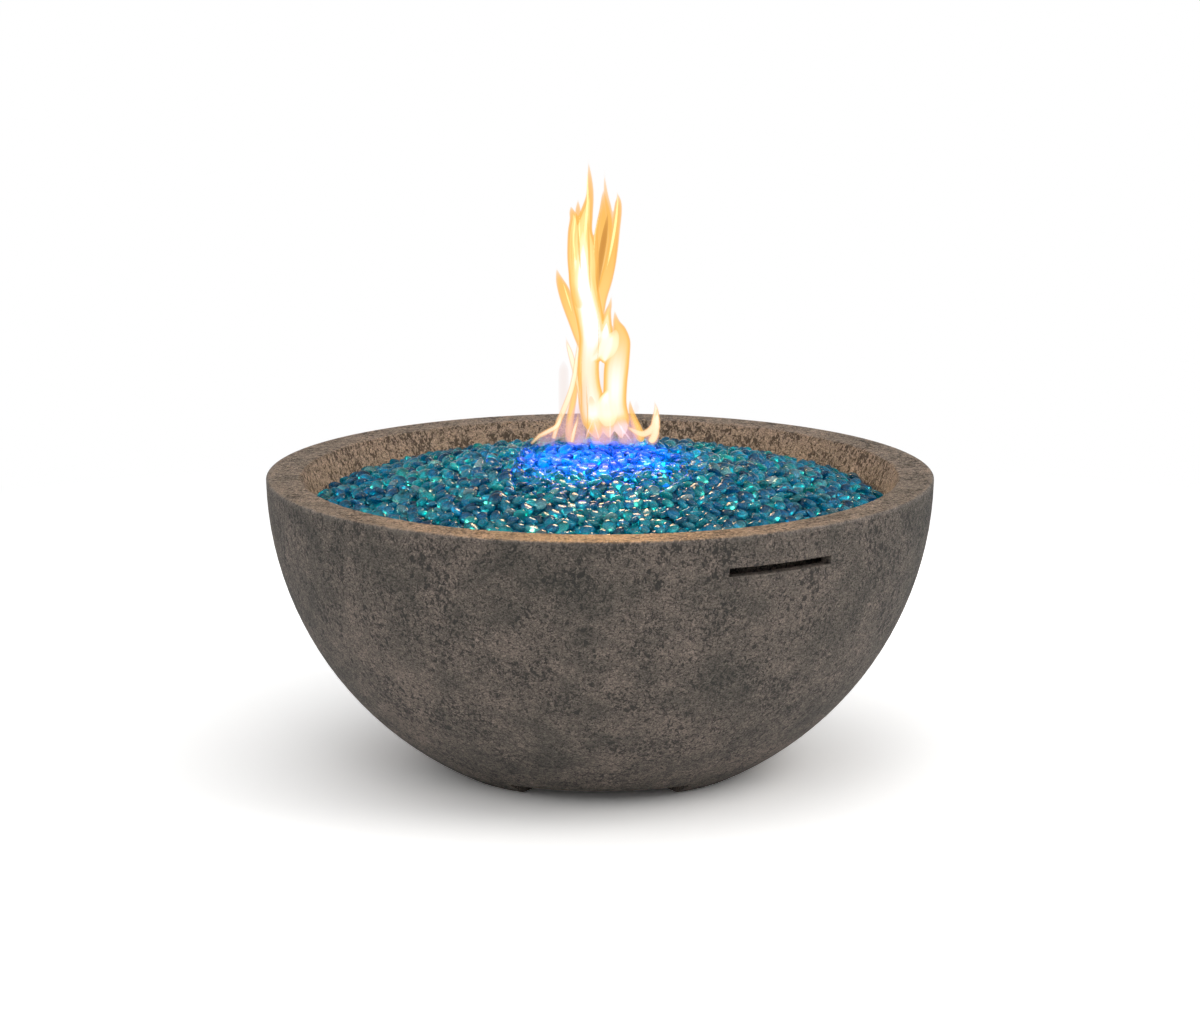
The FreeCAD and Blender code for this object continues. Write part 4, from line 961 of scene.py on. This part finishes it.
def blue_veil():
    """The blue foot of the fire: a thin glowing layer just over the glass."""
    blue = gas("fire_blue", absorbed=(0.0, 0.52, 1.0), density=14.0,
               shone=(0.010, 0.10, 1.0), strength=4.2)
    points = []
    for thick in (VEIL_THICK, 0.0):
        for number in range(1, VEIL_RINGS + 1):
            for k in range(VEIL_AROUND):
                turn = math.tau * k / VEIL_AROUND
                radius = VEIL_RADIUS * veil_reach(turn) * number / VEIL_RINGS
                lift = VEIL_LOW + thick * (1 - (number / VEIL_RINGS) ** 3)
                points.append((radius * math.cos(turn), radius * math.sin(turn),
                               dome(radius) + lift))
    under = VEIL_RINGS * VEIL_AROUND
    upper, lower = range(0, under, VEIL_AROUND), range(under, len(points), VEIL_AROUND)
    faces = fan(len(points), upper[0], VEIL_AROUND) + bands(upper, VEIL_AROUND)
    faces += flipped(fan(len(points) + 1, lower[0], VEIL_AROUND) + bands(lower, VEIL_AROUND))
    faces += bands((upper[-1], lower[-1]), VEIL_AROUND)
    points += [(0, 0, dome(0) + VEIL_LOW + VEIL_THICK), (0, 0, dome(0) + VEIL_LOW)]
    only_seen(mesh_piece("fire_blue_foot", points, faces, blue))


blue_veil()


# Studio: floor, sky, lamps and camera

SKY_LEVEL = 0.60
SKY_MIRRORED = 0.34
HORIZON = (0.05, 0.12)
FLOOR_SEEN = 1.58
FLOOR_GREY = 0.90
FLOOR_Z = -0.0004
FLOOR_REACH = 6.0
FLOOR_FADE = (1.3, 2.2)
FLOOR_RINGS = 12
FLOOR_AROUND = 64


def seen_directly(tree):
    """1 for rays from the camera, a mirror or through glass, and 0 for the rest."""
    path = node(tree, "LightPath").outputs
    both = maths(tree, "ADD", path["Is Camera Ray"], path["Is Glossy Ray"])
    return maths(tree, "MINIMUM", maths(tree, "ADD", both, path["Is Transmission Ray"]), 1.0)


def studio_floor():
    """A floor that keeps the bowl's shadow and fades to plain white around it."""
    made = bpy.data.materials.new("studio_floor")
    made.use_nodes = True
    tree = made.node_tree
    tree.nodes.clear()
    spot = node(tree, "TexCoord").outputs["Object"]
    far = node(tree, "VectorMath", {0: spot}, operation="LENGTH").outputs["Value"]
    grain = span(tree, noise(tree, spot, 3.0), 0.3, 0.7, 0.995, 1.005)
    colour = mix(tree, seen_directly(tree), (FLOOR_GREY,) * 3, (FLOOR_SEEN,) * 3)
    floor = node(tree, "BsdfDiffuse", {"Color": shade(tree, colour, grain)})
    white = node(tree, "Emission", {"Color": (1, 1, 1), "Strength": 1.0})
    edge = span(tree, far, *FLOOR_FADE)
    both = node(tree, "MixShader", {0: edge, 1: floor.outputs[0], 2: white.outputs[0]})
    node(tree, "OutputMaterial", {"Surface": both.outputs[0]})
    points = [(0.0, 0.0, FLOOR_Z)]
    for number in range(1, FLOOR_RINGS + 1):
        points += ring(FLOOR_REACH * (number / FLOOR_RINGS) ** 1.5, FLOOR_Z, FLOOR_AROUND)
    starts = range(1, len(points), FLOOR_AROUND)
    faces = fan(0, starts[0], FLOOR_AROUND) + bands(starts, FLOOR_AROUND)
    mesh_piece("studio_floor", points, faces, made)


def studio_sky():
    """White behind the object, and a plain level of light from all sides."""
    world = bpy.data.worlds.new("studio_sky")
    world.use_nodes = True
    scene.world = world
    tree = world.node_tree
    tree.nodes.clear()
    path = node(tree, "LightPath").outputs
    way = node(tree, "SeparateXYZ", {0: node(tree, "TexCoord").outputs["Generated"]}).outputs[2]
    low = span(tree, way, *HORIZON, 1.0, 0.0)
    backdrop = maths(tree, "MULTIPLY", seen_directly(tree), low)
    seen = maths(tree, "MAXIMUM", backdrop, path["Is Camera Ray"])
    light = span(tree, path["Is Glossy Ray"], 0.0, 1.0, SKY_LEVEL, SKY_MIRRORED)
    strength = span(tree, seen, 0.0, 1.0, light, 1.0)
    sky = node(tree, "Background", {"Color": (1, 1, 1), "Strength": strength})
    node(tree, "OutputWorld", {"Surface": sky.outputs[0]})


def lamp(name, kind, place, colour, power, size, aim=None):
    """A lamp the camera doesn't see. Size is an area lamp's width or a point lamp's radius."""
    light = bpy.data.lights.new(name, kind)
    light.color = colour
    light.energy = power
    if kind == "AREA":
        light.shape = "DISK"
        light.size = size
    else:
        light.shadow_soft_size = size
    made = bpy.data.objects.new(name, light)
    scene.collection.objects.link(made)
    made.location = place
    made.visible_camera = False
    if aim is not None:
        way = np.array(place) - np.array(aim)
        across = math.hypot(way[0], way[1])
        made.rotation_euler = (math.atan2(across, way[2]), 0, math.atan2(way[0], -way[1]))
    return made


studio_floor()
studio_sky()
BOWL_MIDDLE = (0, 0, 0.2)
SOFT_WHITE = (1.0, 0.99, 0.97)
lamp("key", "AREA", (3.1, -1.1, 2.7), (1.0, 0.985, 0.96), power=38.0, size=2.6, aim=BOWL_MIDDLE)
lamp("top", "AREA", (-0.3, -0.5, 3.6), SOFT_WHITE, power=19.0, size=3.4, aim=BOWL_MIDDLE)
lamp("front", "AREA", (-0.6, -3.2, 2.2), SOFT_WHITE, power=15.0, size=2.5, aim=BOWL_MIDDLE)
lamp("fire_light", "POINT", (0.0, 0.03, 0.60), (1.0, 0.64, 0.34), power=3.0, size=0.07)
glow_front = lamp("fire_front", "POINT", (0.0, -0.40, 0.60), (1.0, 0.50, 0.09), power=4.2,
                  size=0.05)
on_bowl = bpy.data.collections.new("on_bowl")
on_bowl.objects.link(nodes["bowl_shell"])
glow_front.light_linking.receiver_collection = on_bowl
glint = lamp("fire_glint", "POINT", (0.0, 0.0, 0.66), (1.0, 0.62, 0.38), power=3.1, size=0.11)
glint.visible_diffuse = False
lamp("fire_foot", "AREA", (0.0, 0.0, 0.442), (0.012, 0.10, 1.0), power=0.66, size=0.212,
     aim=(0.0, 0.0, 0.0))

CAMERA_PLACE = (0.0, -6.0, 1.5842)
CAMERA_PITCH = 78.415
CAMERA_LENS = 133.69
camera = bpy.data.objects.new("camera", bpy.data.cameras.new("camera"))
scene.collection.objects.link(camera)
camera.location = CAMERA_PLACE
camera.rotation_euler = (math.radians(CAMERA_PITCH), 0.0, 0.0)
camera.data.lens = CAMERA_LENS
camera.data.sensor_width = 36.0
camera.data.clip_end = 60.0
scene.camera = camera
